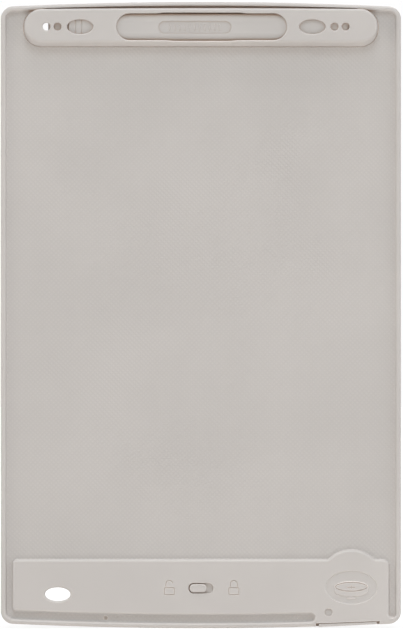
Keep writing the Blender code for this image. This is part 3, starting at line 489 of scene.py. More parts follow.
def split_face(shape: bmesh.types.BMesh, face: bmesh.types.BMFace) -> None:
    """Divides a flat face of many corners into triangles between its own corners.

    Args:
        shape: The mesh under construction.
        face: One of its faces.
    """
    corners = list(face.verts)
    turn = face.normal.rotation_difference(Vector((0.0, 0.0, 1.0)))
    flat = [(turn @ corner.co).to_2d() * FLAT_SCALE for corner in corners]
    outline = list(range(len(corners)))
    points, _, triangles, sources, _, _ = delaunay_2d_cdt(flat, [], [outline], INSIDE_OUTLINE, FLAT_HAIRLINE)
    if len(points) != len(corners):
        bmesh.ops.triangulate(shape, faces=[face])
        return
    shape.faces.remove(face)
    for triangle in triangles:
        shape.faces.new([corners[sources[index][0]] for index in triangle])


class Solid:
    """A closed mesh of lofts from which others are cut, or to which they are joined."""

    def __init__(self, name: str, *lofts: Loft) -> None:
        """Makes the mesh that the cuts and joins start from.

        Args:
            name: Name of the piece.
            lofts: What it starts from.
        """
        self.name = name
        self.helpers: list[bpy.types.Object] = []
        self.object = self._mesh_object(name, lofts)

    @staticmethod
    def _mesh_object(name: str, lofts: tuple[Loft, ...]) -> bpy.types.Object:
        """An object that holds lofts as one mesh.

        Args:
            name: Name of the object.
            lofts: The lofts.

        Returns:
            The object, linked to the scene.
        """
        shape = bmesh.new()
        for loft in lofts:
            loft.skin(shape)
        bmesh.ops.recalc_face_normals(shape, faces=shape.faces)
        mesh = bpy.data.meshes.new(name)
        shape.to_mesh(mesh)
        shape.free()
        made = bpy.data.objects.new(name, mesh)
        bpy.context.scene.collection.objects.link(made)
        return made

    def cut(self, *lofts: Loft) -> None:
        """Takes lofts away; those of one call don't overlap each other."""
        self._combine("DIFFERENCE", lofts)

    def join(self, *lofts: Loft) -> None:
        """Adds lofts; those of one call don't overlap each other."""
        self._combine("UNION", lofts)

    def _combine(self, operation: str, lofts: tuple[Loft, ...]) -> None:
        """Adds the Boolean for one cut or join.

        Args:
            operation: Kind of Boolean.
            lofts: What is taken away or added.
        """
        helper = self._mesh_object(f"{self.name}.{len(self.helpers)}", lofts)
        modifier = self.object.modifiers.new(helper.name, "BOOLEAN")
        modifier.operation = operation
        modifier.solver = "MANIFOLD"
        modifier.object = helper
        self.helpers.append(helper)

    @staticmethod
    def _clean(mesh: bpy.types.Mesh) -> None:
        """Closes hairline edges that the cuts leave and splits large faces into triangles.

        Args:
            mesh: The mesh to clean.
        """
        shape = bmesh.new()
        shape.from_mesh(mesh)
        bmesh.ops.remove_doubles(shape, verts=shape.verts, dist=HAIRLINE)
        bmesh.ops.dissolve_degenerate(shape, edges=shape.edges, dist=HAIRLINE)
        for face in [face for face in shape.faces if len(face.verts) > QUAD_CORNERS]:
            split_face(shape, face)
        shape.to_mesh(mesh)
        shape.free()

    def settle(self, coat: "Coat", slot: str, body: Body, *nodes: str) -> None:
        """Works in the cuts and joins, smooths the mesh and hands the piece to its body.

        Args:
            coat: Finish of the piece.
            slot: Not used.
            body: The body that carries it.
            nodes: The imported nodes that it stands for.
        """
        graph = bpy.context.evaluated_depsgraph_get()
        mesh = bpy.data.meshes.new_from_object(self.object.evaluated_get(graph))
        mesh.name = self.name
        self.object.modifiers.clear()
        self.object.data = mesh
        for helper in self.helpers:
            bpy.data.objects.remove(helper, do_unlink=True)
        self._clean(mesh)
        mesh.shade_smooth()
        mesh.set_sharp_from_angle(angle=SHARP_ANGLE)
        smooth = self.object.modifiers.new("even_faces", "WEIGHTED_NORMAL")
        smooth.mode = "FACE_AREA"
        smooth.weight = FACE_WEIGHT
        smooth.keep_sharp = True
        mesh.materials.clear()
        mesh.materials.append(coat.material)
        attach(self.object, body.value)
        if nodes:
            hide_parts(*nodes)
        LOG.info("%s: %d faces on %s", self.name, len(mesh.polygons), body.value)


@dataclass(frozen=True)
class TabletOutline:
    """Outline of the tablet: straight sides, bowed top and bottom edges, round corners."""

    width: float = 0.1444
    height: float = 0.2260
    top_bow: float = 0.0018
    bottom_bow: float = 0.00172
    corner: float = 0.0045

    @property
    def half(self) -> float:
        """Half of the width."""
        return self.width / 2

    def bow_radius(self, edge: Edge) -> float:
        """Radius of a bowed edge."""
        return arc_radius(self.half, self.top_bow if edge is Edge.TOP else self.bottom_bow)

    def height_at(self, edge: Edge, x: float, inset: float = 0.0) -> float:
        """Height of a bowed edge at one place.

        Args:
            edge: Top or bottom.
            x: The place.
            inset: How far the edge is drawn inwards.

        Returns:
            The height above the bottom.
        """
        radius = self.bow_radius(edge)
        rise = math.sqrt((radius - inset) ** 2 - x**2)
        return self.height - radius + rise if edge is Edge.TOP else radius - rise

    def corner_arc(self, side: Side, edge: Edge, inset: float) -> Outline:
        """One corner, anticlockwise.

        Args:
            side: Its side.
            edge: Its edge.
            inset: How far it is drawn inwards.

        Returns:
            The points of the corner.
        """
        reach = self.half - self.corner
        lean = math.degrees(math.asin(reach / (self.bow_radius(edge) - self.corner)))
        spans = {
            (Side.RIGHT, Edge.TOP): (0, 90 - lean),
            (Side.LEFT, Edge.TOP): (90 + lean, 180),
            (Side.LEFT, Edge.BOTTOM): (180, 270 - lean),
            (Side.RIGHT, Edge.BOTTOM): (270 + lean, 360),
        }
        centre = (side.value * reach, self.height_at(edge, reach, self.corner))
        return arc(centre, self.corner - inset, *spans[(side, edge)])

    def bow(self, edge: Edge, inset: float, start: float, end: float, steps: int = BOW_STEPS) -> Outline:
        """Points along an edge, drawn inwards by an inset, between two places and without them."""
        places = [start + (end - start) * step / steps for step in range(1, steps)]
        return [(x, self.height_at(edge, x, inset)) for x in places]

    def loop(self, inset: float = 0.0) -> Outline:
        """The whole outline, anticlockwise.

        Args:
            inset: How far it is drawn inwards.

        Returns:
            The closed outline.
        """
        lower_right = self.corner_arc(Side.RIGHT, Edge.BOTTOM, inset)
        upper_right = self.corner_arc(Side.RIGHT, Edge.TOP, inset)
        upper_left = self.corner_arc(Side.LEFT, Edge.TOP, inset)
        lower_left = self.corner_arc(Side.LEFT, Edge.BOTTOM, inset)
        top = self.bow(Edge.TOP, inset, upper_right[-1][0], upper_left[0][0])
        bottom = self.bow(Edge.BOTTOM, inset, lower_left[-1][0], lower_right[0][0])
        return lower_right + upper_right + top + upper_left + lower_left + bottom

    def strip(self, left: float, right: float, outer: float, inner: float) -> Outline:
        """A strip along the bottom edge, anticlockwise.

        Args:
            left: Its left end.
            right: Its right end.
            outer: Inset of its lower side.
            inner: Inset of its upper side.

        Returns:
            The closed outline: the lower side, then as many points of the upper side.
        """
        points = []
        for inset, start, end in ((outer, left, right), (inner, right, left)):
            points.append((start, self.height_at(Edge.BOTTOM, start, inset)))
            points += self.bow(Edge.BOTTOM, inset, start, end, CORNER_STEPS)
            points.append((end, self.height_at(Edge.BOTTOM, end, inset)))
        return points


TABLET = TabletOutline()

FLOAT = "NodeSocketFloat"
VECTOR = "NodeSocketVector"
# Numbers of the colour sockets of a Mix node, which share their names with others.
MIX_FIRST = 6
MIX_SECOND = 7
MIX_RESULT = 2


class Graph:
    """Adds nodes to one node tree and links them."""

    def __init__(self, tree: bpy.types.NodeTree) -> None:
        """Keeps the tree to work on."""
        self.tree = tree

    def feed(self, socket: Socket, value: object) -> None:
        """Links a socket to another one, or sets it to a plain value.

        Args:
            socket: The socket to feed.
            value: Another socket or a plain value.
        """
        if isinstance(value, Socket):
            self.tree.links.new(value, socket)
        else:
            socket.default_value = value

    def node(
        self, kind: str, inputs: dict[str | int, object] | None = None, **settings: object
    ) -> bpy.types.Node:
        """Adds one node.

        Args:
            kind: Name of the node type.
            inputs: Sockets or values for its inputs, by name or number.
            settings: Properties of the node.

        Returns:
            The node.
        """
        made = self.tree.nodes.new(kind)
        for name, value in settings.items():
            setattr(made, name, value)
        for name, value in (inputs or {}).items():
            self.feed(made.inputs[name], value)
        return made

    def math(self, operation: str, *values: object) -> Socket:
        """Result of a Math node on sockets or numbers."""
        return self.node("ShaderNodeMath", dict(enumerate(values)), operation=operation).outputs[0]

    def ranged(self, value: object, span: Pair, low: float, high: float) -> Socket:
        """A value mapped smoothly from a span to one from low to high, and held at its ends."""
        inputs = {"Value": value, "From Min": span[0], "From Max": span[1], "To Min": low, "To Max": high}
        return self.node("ShaderNodeMapRange", inputs, interpolation_type="SMOOTHSTEP").outputs[0]

    def noise(self, vector: object, size: object, detail: float) -> Socket:
        """Value of a Noise texture whose features have a size."""
        inputs = {"Vector": vector, "Scale": self.math("DIVIDE", 1.0, size), "Detail": detail}
        return self.node("ShaderNodeTexNoise", inputs).outputs[0]

    def mixed(self, share: object, first: object, second: object) -> Socket:
        """Colour mixed from two by a share."""
        inputs = {"Factor": share, MIX_FIRST: first, MIX_SECOND: second}
        return self.node("ShaderNodeMix", inputs, data_type="RGBA").outputs[MIX_RESULT]

    def bump(self, height: Socket, distance: float) -> Socket:
        """Normal of a surface with small heights."""
        return self.node("ShaderNodeBump", {"Height": height, "Distance": distance}).outputs[0]


class Effect:
    """A shader node group that several finishes share."""

    def __init__(self, name: str, inputs: dict[str, str], outputs: tuple[str, ...]) -> None:
        """Makes the group with its sockets.

        Args:
            name: Name of the group.
            inputs: Socket type for each input name.
            outputs: Names of the float outputs.
        """
        self.tree = bpy.data.node_groups.new(name, "ShaderNodeTree")
        for label, kind in inputs.items():
            self.tree.interface.new_socket(name=label, in_out="INPUT", socket_type=kind)
        for label in outputs:
            self.tree.interface.new_socket(name=label, in_out="OUTPUT", socket_type=FLOAT)
        self.graph = Graph(self.tree)
        self.inputs = self.tree.nodes.new("NodeGroupInput").outputs
        self.outputs = self.tree.nodes.new("NodeGroupOutput").inputs

    def give(self, name: str, value: object) -> None:
        """Links a value to one output of the group."""
        self.graph.feed(self.outputs[name], value)


# Details of noise, the spans that its values mostly keep to, and spans of the repeated patterns.
SLOW_DETAIL = 2.0
GRAIN_DETAIL = 3.0
LINE_DETAIL = 4.0
NOISE_SPAN = (0.3, 0.7)
SMEAR_SPAN = (0.45, 0.75)
MIDDLE = 0.5
HALF_PITCH = (0.0, 0.5)
MASK_SPAN = (0.5, 1.0)


def grain_effect() -> bpy.types.NodeTree:
    """Fine grain of a spark-eroded mould, and slow changes of tone.

    Returns:
        The node group.
    """
    effect = Effect("moulded_grain", {"Vector": VECTOR, "Size": FLOAT, "Drift": FLOAT}, ("Height", "Tone"))
    graph = effect.graph
    vector = effect.inputs["Vector"]
    effect.give("Height", graph.noise(vector, effect.inputs["Size"], GRAIN_DETAIL))
    slow = graph.noise(vector, effect.inputs["Drift"], SLOW_DETAIL)
    effect.give("Tone", graph.ranged(slow, NOISE_SPAN, 0.0, 1.0))
    return effect.tree


def lattice_effect() -> bpy.types.NodeTree:
    """Diamond lattice of shallow diagonal grooves on one floor of the moulding.

    Returns:
        The node group.
    """
    names = {"Vector": VECTOR, "Pitch": FLOAT, "Floor": FLOAT, "Reach": FLOAT}
    effect = Effect("diamond_lattice", names, ("Groove",))
    graph = effect.graph
    parts = graph.node("ShaderNodeSeparateXYZ", {0: effect.inputs["Vector"]}).outputs
    waves = []
    for operation in ("ADD", "SUBTRACT"):
        along = graph.math("DIVIDE", graph.math(operation, parts[0], parts[2]), effect.inputs["Pitch"])
        saw = graph.math("ABSOLUTE", graph.math("SUBTRACT", graph.math("FRACT", along), MIDDLE))
        waves.append(graph.ranged(saw, HALF_PITCH, 1.0, 0.0))
    away = graph.math("ABSOLUTE", graph.math("SUBTRACT", parts[1], effect.inputs["Floor"]))
    mask = graph.ranged(graph.math("DIVIDE", away, effect.inputs["Reach"]), MASK_SPAN, 1.0, 0.0)
    effect.give("Groove", graph.math("MULTIPLY", graph.math("MAXIMUM", *waves), mask))
    return effect.tree


def brushed_effect() -> bpy.types.NodeTree:
    """Fine lines of drawn or brushed metal, and fingerprints that dull it in places.

    Returns:
        The node group.
    """
    names = {"Vector": VECTOR, "Stretch": VECTOR, "Smudge": FLOAT}
    effect = Effect("brushed_lines", names, ("Line", "Smear"))
    graph = effect.graph
    inputs = {0: effect.inputs["Vector"], 1: effect.inputs["Stretch"]}
    stretched = graph.node("ShaderNodeVectorMath", inputs, operation="MULTIPLY").outputs[0]
    effect.give("Line", graph.noise(stretched, 1.0, LINE_DETAIL))
    smear = graph.noise(effect.inputs["Vector"], effect.inputs["Smudge"], LINE_DETAIL)
    effect.give("Smear", graph.ranged(smear, SMEAR_SPAN, 0.0, 1.0))
    return effect.tree


def linear(colour: Colour, factor: float = 1.0) -> tuple[float, float, float, float]:
    """An sRGB colour as the linear values that a shader takes, by the sRGB standard's own formula.

    Args:
        colour: The colour.
        factor: What it is made darker or lighter by.

    Returns:
        Red, green, blue and a full alpha.
    """
    values = []
    for value in (part * factor for part in colour):
        values.append(value / 12.92 if value <= 0.04045 else ((value + 0.055) / 1.055) ** 2.4)
    return (values[0], values[1], values[2], 1.0)


class Workshop:
    """Holds the shared effects, each built once."""

    def __init__(self) -> None:
        """Builds the effects."""
        self.grain = grain_effect()
        self.lattice = lattice_effect()
        self.brushed = brushed_effect()


class Surface:
    """A material under construction: its nodes, its shader and the piece's own coordinates."""

    def __init__(self, name: str) -> None:
        """Starts the material.

        Args:
            name: Its name.
        """
        made = bpy.data.materials.new(name)
        made.use_nodes = True
        self.graph = Graph(made.node_tree)
        self.shader = made.node_tree.nodes["Principled BSDF"]
        self.vector = self.graph.node("ShaderNodeTexCoord").outputs["Object"]

    def effect(self, group: bpy.types.NodeTree, **inputs: object) -> bpy.types.NodeOutputs:
        """Outputs of a shared effect that is laid on the piece."""
        return self.graph.node("ShaderNodeGroup", {"Vector": self.vector} | inputs, node_tree=group).outputs

    def done(self, colour: Socket, roughness: Socket, normal: Socket, plain: dict[str, float]) -> None:
        """Feeds the shader.

        Args:
            colour: Base colour.
            roughness: Roughness.
            normal: Normal with the small heights.
            plain: Plain values of other inputs by name.
        """
        for name, value in {"Base Color": colour, "Roughness": roughness, "Normal": normal}.items():
            self.graph.feed(self.shader.inputs[name], value)
        for name, value in plain.items():
            self.shader.inputs[name].default_value = value


PLASTIC_IOR = 1.53
SHELTER_SAMPLES = 6


@dataclass(frozen=True)
class MouldedPlastic:
    """Satin plastic with a fine grain.

    It has a diamond lattice on one floor where it has a pitch, with painted shade in its grooves; painted
    warm shade in gaps where it has a painted shade reach; and painted highlights on thin edges where it has
    a painted highlight reach.
    """

    name: str
    colour: Colour
    roughness: float = 0.48
    roughness_swing: float = 0.06
    grain_size: float = 0.00028
    grain_depth: float = 0.000010
    drift: float = 0.045
    tone_share: float = 0.012
    lattice_pitch: float = 0.0
    lattice_depth: float = 0.00005
    lattice_floor: float = 0.0
    lattice_reach: float = 0.0003
    lattice_painted_shade: float = 0.09
    lattice_painted_dark: float = 0.6
    painted_shade_reach: float = 0.0
    painted_shade_open: Pair = (0.12, 0.55)
    painted_shade_tint: Colour = (1.0, 0.90, 0.82)
    painted_highlight_reach: float = 0.0
    painted_highlight_open: Pair = (0.50, 0.92)
    painted_highlight_lift: float = 1.18

    @staticmethod
    def painted_light_mask(graph: Graph, reach: float, opening: Pair, inside: bool) -> Socket:
        """How closely the surface is shut in: the mask of painted shade in gaps and of painted highlights on
        thin edges.

        Args:
            graph: Nodes of the material.
            reach: How far away other surface counts.
            opening: Openness at which the share is 1, and at which it is 0.
            inside: Whether to look into the piece itself, which finds its edges.

        Returns:
            The share, from 0 in the open to 1.
        """
        settings = {"samples": SHELTER_SAMPLES, "inside": inside, "only_local": inside}
        around = graph.node("ShaderNodeAmbientOcclusion", {"Distance": reach}, **settings)
        return graph.ranged(around.outputs["AO"], opening, 1.0, 0.0)

    def make(self, shop: Workshop) -> None:
        """Builds the material.

        Args:
            shop: The shared effects.
        """
        surface = Surface(self.name)
        graph = surface.graph
        grain = surface.effect(shop.grain, Size=self.grain_size, Drift=self.drift)
        dark, light = linear(self.colour, 1 - self.tone_share), linear(self.colour, 1 + self.tone_share)
        colour = graph.mixed(grain["Tone"], dark, light)
        normal = graph.bump(grain["Height"], self.grain_depth)
        if self.lattice_pitch:
            inputs = {"Pitch": self.lattice_pitch, "Floor": self.lattice_floor, "Reach": self.lattice_reach}
            lines = surface.effect(shop.lattice, **inputs)["Groove"]
            # Painted shade: the lattice's grooves get a darker colour, besides their bump.
            share = graph.math("MULTIPLY", lines, self.lattice_painted_shade)
            colour = graph.mixed(share, colour, linear(self.colour, self.lattice_painted_dark))
            inputs = {"Height": lines, "Distance": self.lattice_depth, "Normal": normal}
            normal = graph.node("ShaderNodeBump", inputs, invert=True).outputs[0]
        # Painted highlight: thin convex edges, found by looking into the piece, get a lighter colour.
        if self.painted_highlight_reach:
            share = self.painted_light_mask(graph, self.painted_highlight_reach, self.painted_highlight_open, True)
            colour = graph.mixed(share, colour, linear(self.colour, self.painted_highlight_lift))
        # Painted shade: surface shut in by other surface within the reach gets a darker, warmer colour.
        if self.painted_shade_reach:
            share = self.painted_light_mask(graph, self.painted_shade_reach, self.painted_shade_open, False)
            painted_warm_shade = tuple(value * tint for value, tint in zip(self.colour, self.painted_shade_tint))
            colour = graph.mixed(share, colour, linear(painted_warm_shade))
        smooth, rough = self.roughness - self.roughness_swing, self.roughness + self.roughness_swing
        roughness = graph.ranged(grain["Height"], NOISE_SPAN, smooth, rough)
        surface.done(colour, roughness, normal, {"IOR": PLASTIC_IOR})


@dataclass(frozen=True)
class BrushedMetal:
    """Plated or rolled metal with fine lines and faint fingerprints."""

    name: str
    colour: Colour
    roughness: float
    stretch: Triple
    line_dark: float = 0.93
    line_depth: float = 0.000004
    smudge: float = 0.006
    smear_rough: float = 0.12

    def make(self, shop: Workshop) -> None:
        """Builds the material.

        Args:
            shop: The shared effects.
        """
        surface = Surface(self.name)
        graph = surface.graph
        lines = surface.effect(shop.brushed, Stretch=self.stretch, Smudge=self.smudge)
        colour = graph.mixed(lines["Line"], linear(self.colour, self.line_dark), linear(self.colour))
        roughness = graph.math("MULTIPLY_ADD", lines["Smear"], self.smear_rough, self.roughness)
        surface.done(colour, roughness, graph.bump(lines["Line"], self.line_depth), {"Metallic": 1.0})


@dataclass(frozen=True)
class WritingFilm:
    """Dark laminated film of the screen: satin, with faint streaks of the coating."""

    name: str
    colour: Colour
    sheen: Colour
    roughness: float = 0.26
    stretch: Triple = (260.0, 30.0, 5.0)
    smudge: float = 0.03
    smear_rough: float = 0.05
    grain_size: float = 0.00035
    grain_depth: float = 0.000003
    drift: float = 0.08
    drift_share: float = 0.35
    coat: float = 0.25
    coat_roughness: float = 0.12

    def make(self, shop: Workshop) -> None:
        """Builds the material.

        Args:
            shop: The shared effects.
        """
        surface = Surface(self.name)
        graph = surface.graph
        lines = surface.effect(shop.brushed, Stretch=self.stretch, Smudge=self.smudge)
        grain = surface.effect(shop.grain, Size=self.grain_size, Drift=self.drift)
        sheen = linear(self.sheen)
        colour = graph.mixed(lines["Line"], linear(self.colour), sheen)
        colour = graph.mixed(graph.math("MULTIPLY", grain["Tone"], self.drift_share), colour, sheen)
        roughness = graph.math("MULTIPLY_ADD", lines["Smear"], self.smear_rough, self.roughness)
        normal = graph.bump(grain["Height"], self.grain_depth)
        gloss = {"Coat Weight": self.coat, "Coat Roughness": self.coat_roughness}
        surface.done(colour, roughness, normal, gloss)


@dataclass(frozen=True)
class TrackedLaminate:
    """Board or flat conductor: a base colour with parallel printed tracks."""

    name: str
    colour: Colour
    track: Colour
    pitch: float
    roughness: float = 0.35
    track_edge: Pair = (0.18, 0.24)
    track_rise: float = 0.00002
    track_rough: float = -0.1
    grain_size: float = 0.0004
    drift: float = 0.012

    def make(self, shop: Workshop) -> None:
        """Builds the material.

        Args:
            shop: The shared effects.
        """
        surface = Surface(self.name)
        graph = surface.graph
        across = graph.node("ShaderNodeSeparateXYZ", {0: surface.vector}).outputs[0]
        step = graph.math("FRACT", graph.math("DIVIDE", across, self.pitch))
        away = graph.math("ABSOLUTE", graph.math("SUBTRACT", step, MIDDLE))
        grain = surface.effect(shop.grain, Size=self.grain_size, Drift=self.drift)
        tracks = graph.math("MULTIPLY", graph.ranged(away, self.track_edge, 1.0, 0.0), grain["Tone"])
        colour = graph.mixed(tracks, linear(self.colour), linear(self.track))
        roughness = graph.math("MULTIPLY_ADD", tracks, self.track_rough, self.roughness)
        surface.done(colour, roughness, graph.bump(tracks, self.track_rise), {})


SHELL_COLOUR = (0.775, 0.759, 0.746)
PANEL_FLOOR = DEPTH.hood / 2 - DEPTH.panel
# Reach of the painted warm shade in gaps, and of the painted highlight on thin edges.
CREVICE_PAINTED_SHADE = {"painted_shade_reach": 0.0025}
PAINTED_SHADE_AND_HIGHLIGHT = CREVICE_PAINTED_SHADE | {"painted_highlight_reach": 0.0004}
LATTICE = {"lattice_pitch": 0.00166, "lattice_floor": PANEL_FLOOR}
# The pen's finer grain, and painted shade only in its deeper gaps.
PEN_GRAIN_AND_PAINTED_SHADE = CREVICE_PAINTED_SHADE | {"painted_shade_open": (0.25, 0.72), "grain_depth": 0.000006}


class Coat(Enum):
    """The finishes of the tablet."""

    REAR = MouldedPlastic("rear_plastic", SHELL_COLOUR, **LATTICE, **PAINTED_SHADE_AND_HIGHLIGHT)
    SHELL = MouldedPlastic("shell_plastic", SHELL_COLOUR, **PAINTED_SHADE_AND_HIGHLIGHT)
    KNOB = MouldedPlastic("knob_plastic", SHELL_COLOUR, painted_shade_open=(0.08, 0.35), **PAINTED_SHADE_AND_HIGHLIGHT)
    PEN = MouldedPlastic("pen_plastic", SHELL_COLOUR, 0.42, **PEN_GRAIN_AND_PAINTED_SHADE)
    NIB = MouldedPlastic("nib_plastic", (0.16, 0.16, 0.165), 0.38, grain_depth=0.000004)
    BACKING = MouldedPlastic("backing_plastic", (0.05, 0.05, 0.052), 0.7)
    TAPE = MouldedPlastic("foam_tape", (0.88, 0.87, 0.82), 0.7, grain_depth=0.00003)
    CHIP = MouldedPlastic("chip_compound", (0.06, 0.06, 0.065), 0.6)
    CERAMIC = MouldedPlastic("ceramic_body", (0.52, 0.40, 0.26), 0.4)
    FERRITE = MouldedPlastic("ferrite_core", (0.16, 0.155, 0.15), 0.6)
    SCREEN = WritingFilm("writing_film", (0.070, 0.082, 0.082), (0.098, 0.112, 0.112))
    BOARD = TrackedLaminate("board_mask", (0.05, 0.26, 0.13), (0.10, 0.36, 0.19), 0.0016)
    CONDUCTOR = TrackedLaminate("conductor_film", (0.64, 0.42, 0.15), (0.70, 0.46, 0.22), 0.0008)
    STEEL = BrushedMetal("plated_steel", (0.72, 0.72, 0.71), 0.24, (900.0, 900.0, 90.0))
    CELL = BrushedMetal("cell_can", (0.76, 0.76, 0.75), 0.22, (1600.0, 90.0, 1600.0))
    CONTACT = BrushedMetal("spring_brass", (0.80, 0.66, 0.36), 0.26, (120.0, 1500.0, 1500.0))

    @property
    def material(self) -> Material:
        """The material that the finish has made."""
        return bpy.data.materials[self.value.name]


@dataclass(frozen=True)
class Padlock:
    """Engraved outline of a padlock, open or closed."""

    centre_x: float
    opened: bool
    bottom: float = 0.01213
    width: float = 0.0036
    height: float = 0.0025
    shackle_radius: float = 0.00127
    shackle_top: float = 0.01720
    open_angle: float = 14.0
    line: float = 0.00034
    depth: float = 0.00026

    def case(self) -> Loft:
        """Groove around the lock's case.

        Returns:
            The cutter.
        """
        middle = (self.centre_x, self.bottom + self.height / 2)
        outline = centred_box(middle, self.width, self.height, self.line)
        return groove_ring(outline, DEPTH.rim, self.line, self.depth)

    def shackle(self) -> Loft:
        """Groove of the shackle.

        Returns:
            The cutter, from the right leg or the arch's free end over to the left leg.
        """
        foot = self.bottom + self.height + self.line
        spring = self.shackle_top - self.shackle_radius
        start = self.open_angle if self.opened else 0.0
        arch = arc((self.centre_x, spring), self.shackle_radius, start, 180, 2 * CORNER_STEPS)
        right = [] if self.opened else [(self.centre_x + self.shackle_radius, foot)]
        left = [(self.centre_x - self.shackle_radius, foot)]
        return groove(right + arch + left, DEPTH.rim, self.line, self.depth)


@dataclass
class RearShell:
    """Rear cover: rim, sunk panel with its lattice, pen hood and electronics pod."""

    rim_width: float = 0.00195
    rim_round: float = 0.00095
    wall_draft: float = 0.00015
    edge_round: float = 0.00075
    foot_fillet: float = 0.00035
    parting_chamfer: float = 0.00018
    pod_left: float = -0.06812
    pod_right: float = 0.06800
    pod_top: float = 0.0248
    pod_wall: float = 0.0014
    pod_left_corner: float = 0.0019
    pod_right_corner: float = 0.0024
    pod_foot_corner: float = 0.0012
    hollow_corner: float = 0.0010
    channel_width: float = 0.0027
    channel_end: float = 0.0409
    strip_end: float = 0.0040
    bump: Point = (0.0543, 0.0165)
    bump_radius: float = 0.0118
    bump_flare: float = 0.0016
    dimple_x: float = -0.0344
    dimple_radius: float = 0.00078
    dimple_depth: float = 0.0006
    ejector: Point = (0.0344, 0.0040)
    ejector_radius: float = 0.0008
    ejector_rise: float = 0.00006
    hood_half: float = 0.06375
    hood_height: float = 0.01372
    hood_top: float = 0.22375
    hood_corner: float = 0.0062
    hood_axis: float = 0.2170
    hood_bow: float = 0.00028
    hood_upper: Flank = Flank(0.00005, 0.0009, 0.0010)
    hood_lower: Flank = Flank(0.00085, 0.0009, 0.0014)
    hood_fillet: float = 0.00015
    moat: Pair = (0.00030, 0.00020)
    moat_top: float = 0.2212
    slit_width: float = 0.0009
    slit_end_width: float = 0.00003
    slit_half: float = 0.0565
    slit_floor: float = 0.0041
    window: Pair = (0.0615, 0.0096)
    window_x: float = 0.00028
    oval: Pair = (0.0094, 0.0052)
    ovals_x: Pair = (-0.0436, 0.0402)
    round_hole: float = 0.00275
    round_holes_x: tuple[float, ...] = (-0.0557, -0.0517, 0.0482, 0.0522)
    mouth_round: float = 0.00050
    upper_relief: float = 0.0300
    lower_relief: float = 0.0234
    relief_depth: float = 0.0003
    relief_slope: float = 0.0012
    bay_depth: float = 0.00028
    lock_slot: Pair = (0.0089, 0.0037)
    release: Point = (0.0461, 0.0057)
    release_radius: float = 0.00135
    release_depth: float = 0.0006
    eye_round: float = 0.0008
    padlocks: tuple[Padlock, ...] = (Padlock(-0.01136, opened=True), Padlock(0.01190, opened=False))

    def pocket_outline(self) -> Outline:
        """Foot line of the sunk panel: inside the rim and round the pod.

        Returns:
            The closed outline, anticlockwise.
        """
        upper_right = TABLET.corner_arc(Side.RIGHT, Edge.TOP, self.rim_width)
        upper_left = TABLET.corner_arc(Side.LEFT, Edge.TOP, self.rim_width)
        lower_left = TABLET.corner_arc(Side.LEFT, Edge.BOTTOM, self.rim_width)
        end = self.channel_cap()
        foot = self.pod_foot()
        left_middle = (self.pod_left + self.pod_left_corner, self.pod_top - self.pod_left_corner)
        right_middle = (self.pod_right - self.pod_right_corner, self.pod_top - self.pod_right_corner)
        return (
            self.strip_cap()
            + upper_right
            + TABLET.bow(Edge.TOP, self.rim_width, upper_right[-1][0], upper_left[0][0])
            + upper_left
            + lower_left
            + TABLET.bow(Edge.BOTTOM, self.rim_width, lower_left[-1][0], end[0][0])
            + end
            + TABLET.bow(Edge.BOTTOM, self.rim_width + self.channel_width, end[-1][0], foot[0][0])
            + foot
            + arc(left_middle, self.pod_left_corner, 180, 90)
            + self.pod_swell()
            + arc(right_middle, self.pod_right_corner, 90, 0)
        )

    def strip_cap(self) -> Outline:
        """Round lower end of the strip between the pod and the right rim.

        Returns:
            The points, anticlockwise.
        """
        side = TABLET.half - self.rim_width
        radius = (side - self.pod_right) / 2
        return arc(((side + self.pod_right) / 2, self.strip_end + radius), radius, 180, 360, 2 * ROUND_STEPS)

    def channel_cap(self) -> Outline:
        """Round right end of the channel between the pod and the bottom rim.

        Returns:
            The points, anticlockwise.
        """
        radius = self.channel_width / 2
        bow = TABLET.bow_radius(Edge.BOTTOM)
        middle = bow - self.rim_width - radius
        lean = math.asin((self.channel_end - radius) / middle)
        turn = math.degrees(lean)
        centre = (middle * math.sin(lean), bow - middle * math.cos(lean))
        return arc(centre, radius, turn - 90, turn + 90, 2 * ROUND_STEPS)

    def pod_foot(self) -> Outline:
        """Lower left corner of the pod.

        Returns:
            The points, clockwise from its lower edge to its side.
        """
        bow = TABLET.bow_radius(Edge.BOTTOM)
        radius = bow - self.rim_width - self.channel_width - self.pod_foot_corner
        centre_x = self.pod_left + self.pod_foot_corner
        centre_y = bow - math.sqrt(radius**2 - centre_x**2)
        start = -90 + math.degrees(math.asin(centre_x / radius))
        return arc((centre_x, centre_y), self.pod_foot_corner, start, -180, ROUND_STEPS)

    def pod_swell(self) -> Outline:
        """Upper edge of the pod where it swells round the coin cell.

        Returns:
            The points from left to right.
        """
        x, y = self.bump
        flare_y = self.pod_top + self.bump_flare
        reach = math.sqrt((self.bump_radius + self.bump_flare) ** 2 - (flare_y - y) ** 2)
        tilt = math.degrees(math.atan2(flare_y - y, reach))
        left = arc((x - reach, flare_y), self.bump_flare, -90, -tilt, ROUND_STEPS)
        crown = arc(self.bump, self.bump_radius, 180 - tilt, tilt, 3 * CORNER_STEPS)
        right = arc((x + reach, flare_y), self.bump_flare, 180 + tilt, 270, ROUND_STEPS)
        return left[:-1] + crown + right[1:]

    def pocket(self) -> Loft:
        """The sunk panel, with a fillet at its foot and a round at its rim.

        Returns:
            The cutter.
        """
        foot = self.pocket_outline()
        rim = mouth(grown(foot, self.wall_draft), DEPTH.rim, self.edge_round, Facing.BACK, ROUND_STEPS)
        return Loft(fillet(foot, DEPTH.panel, self.foot_fillet, -1) + rim)

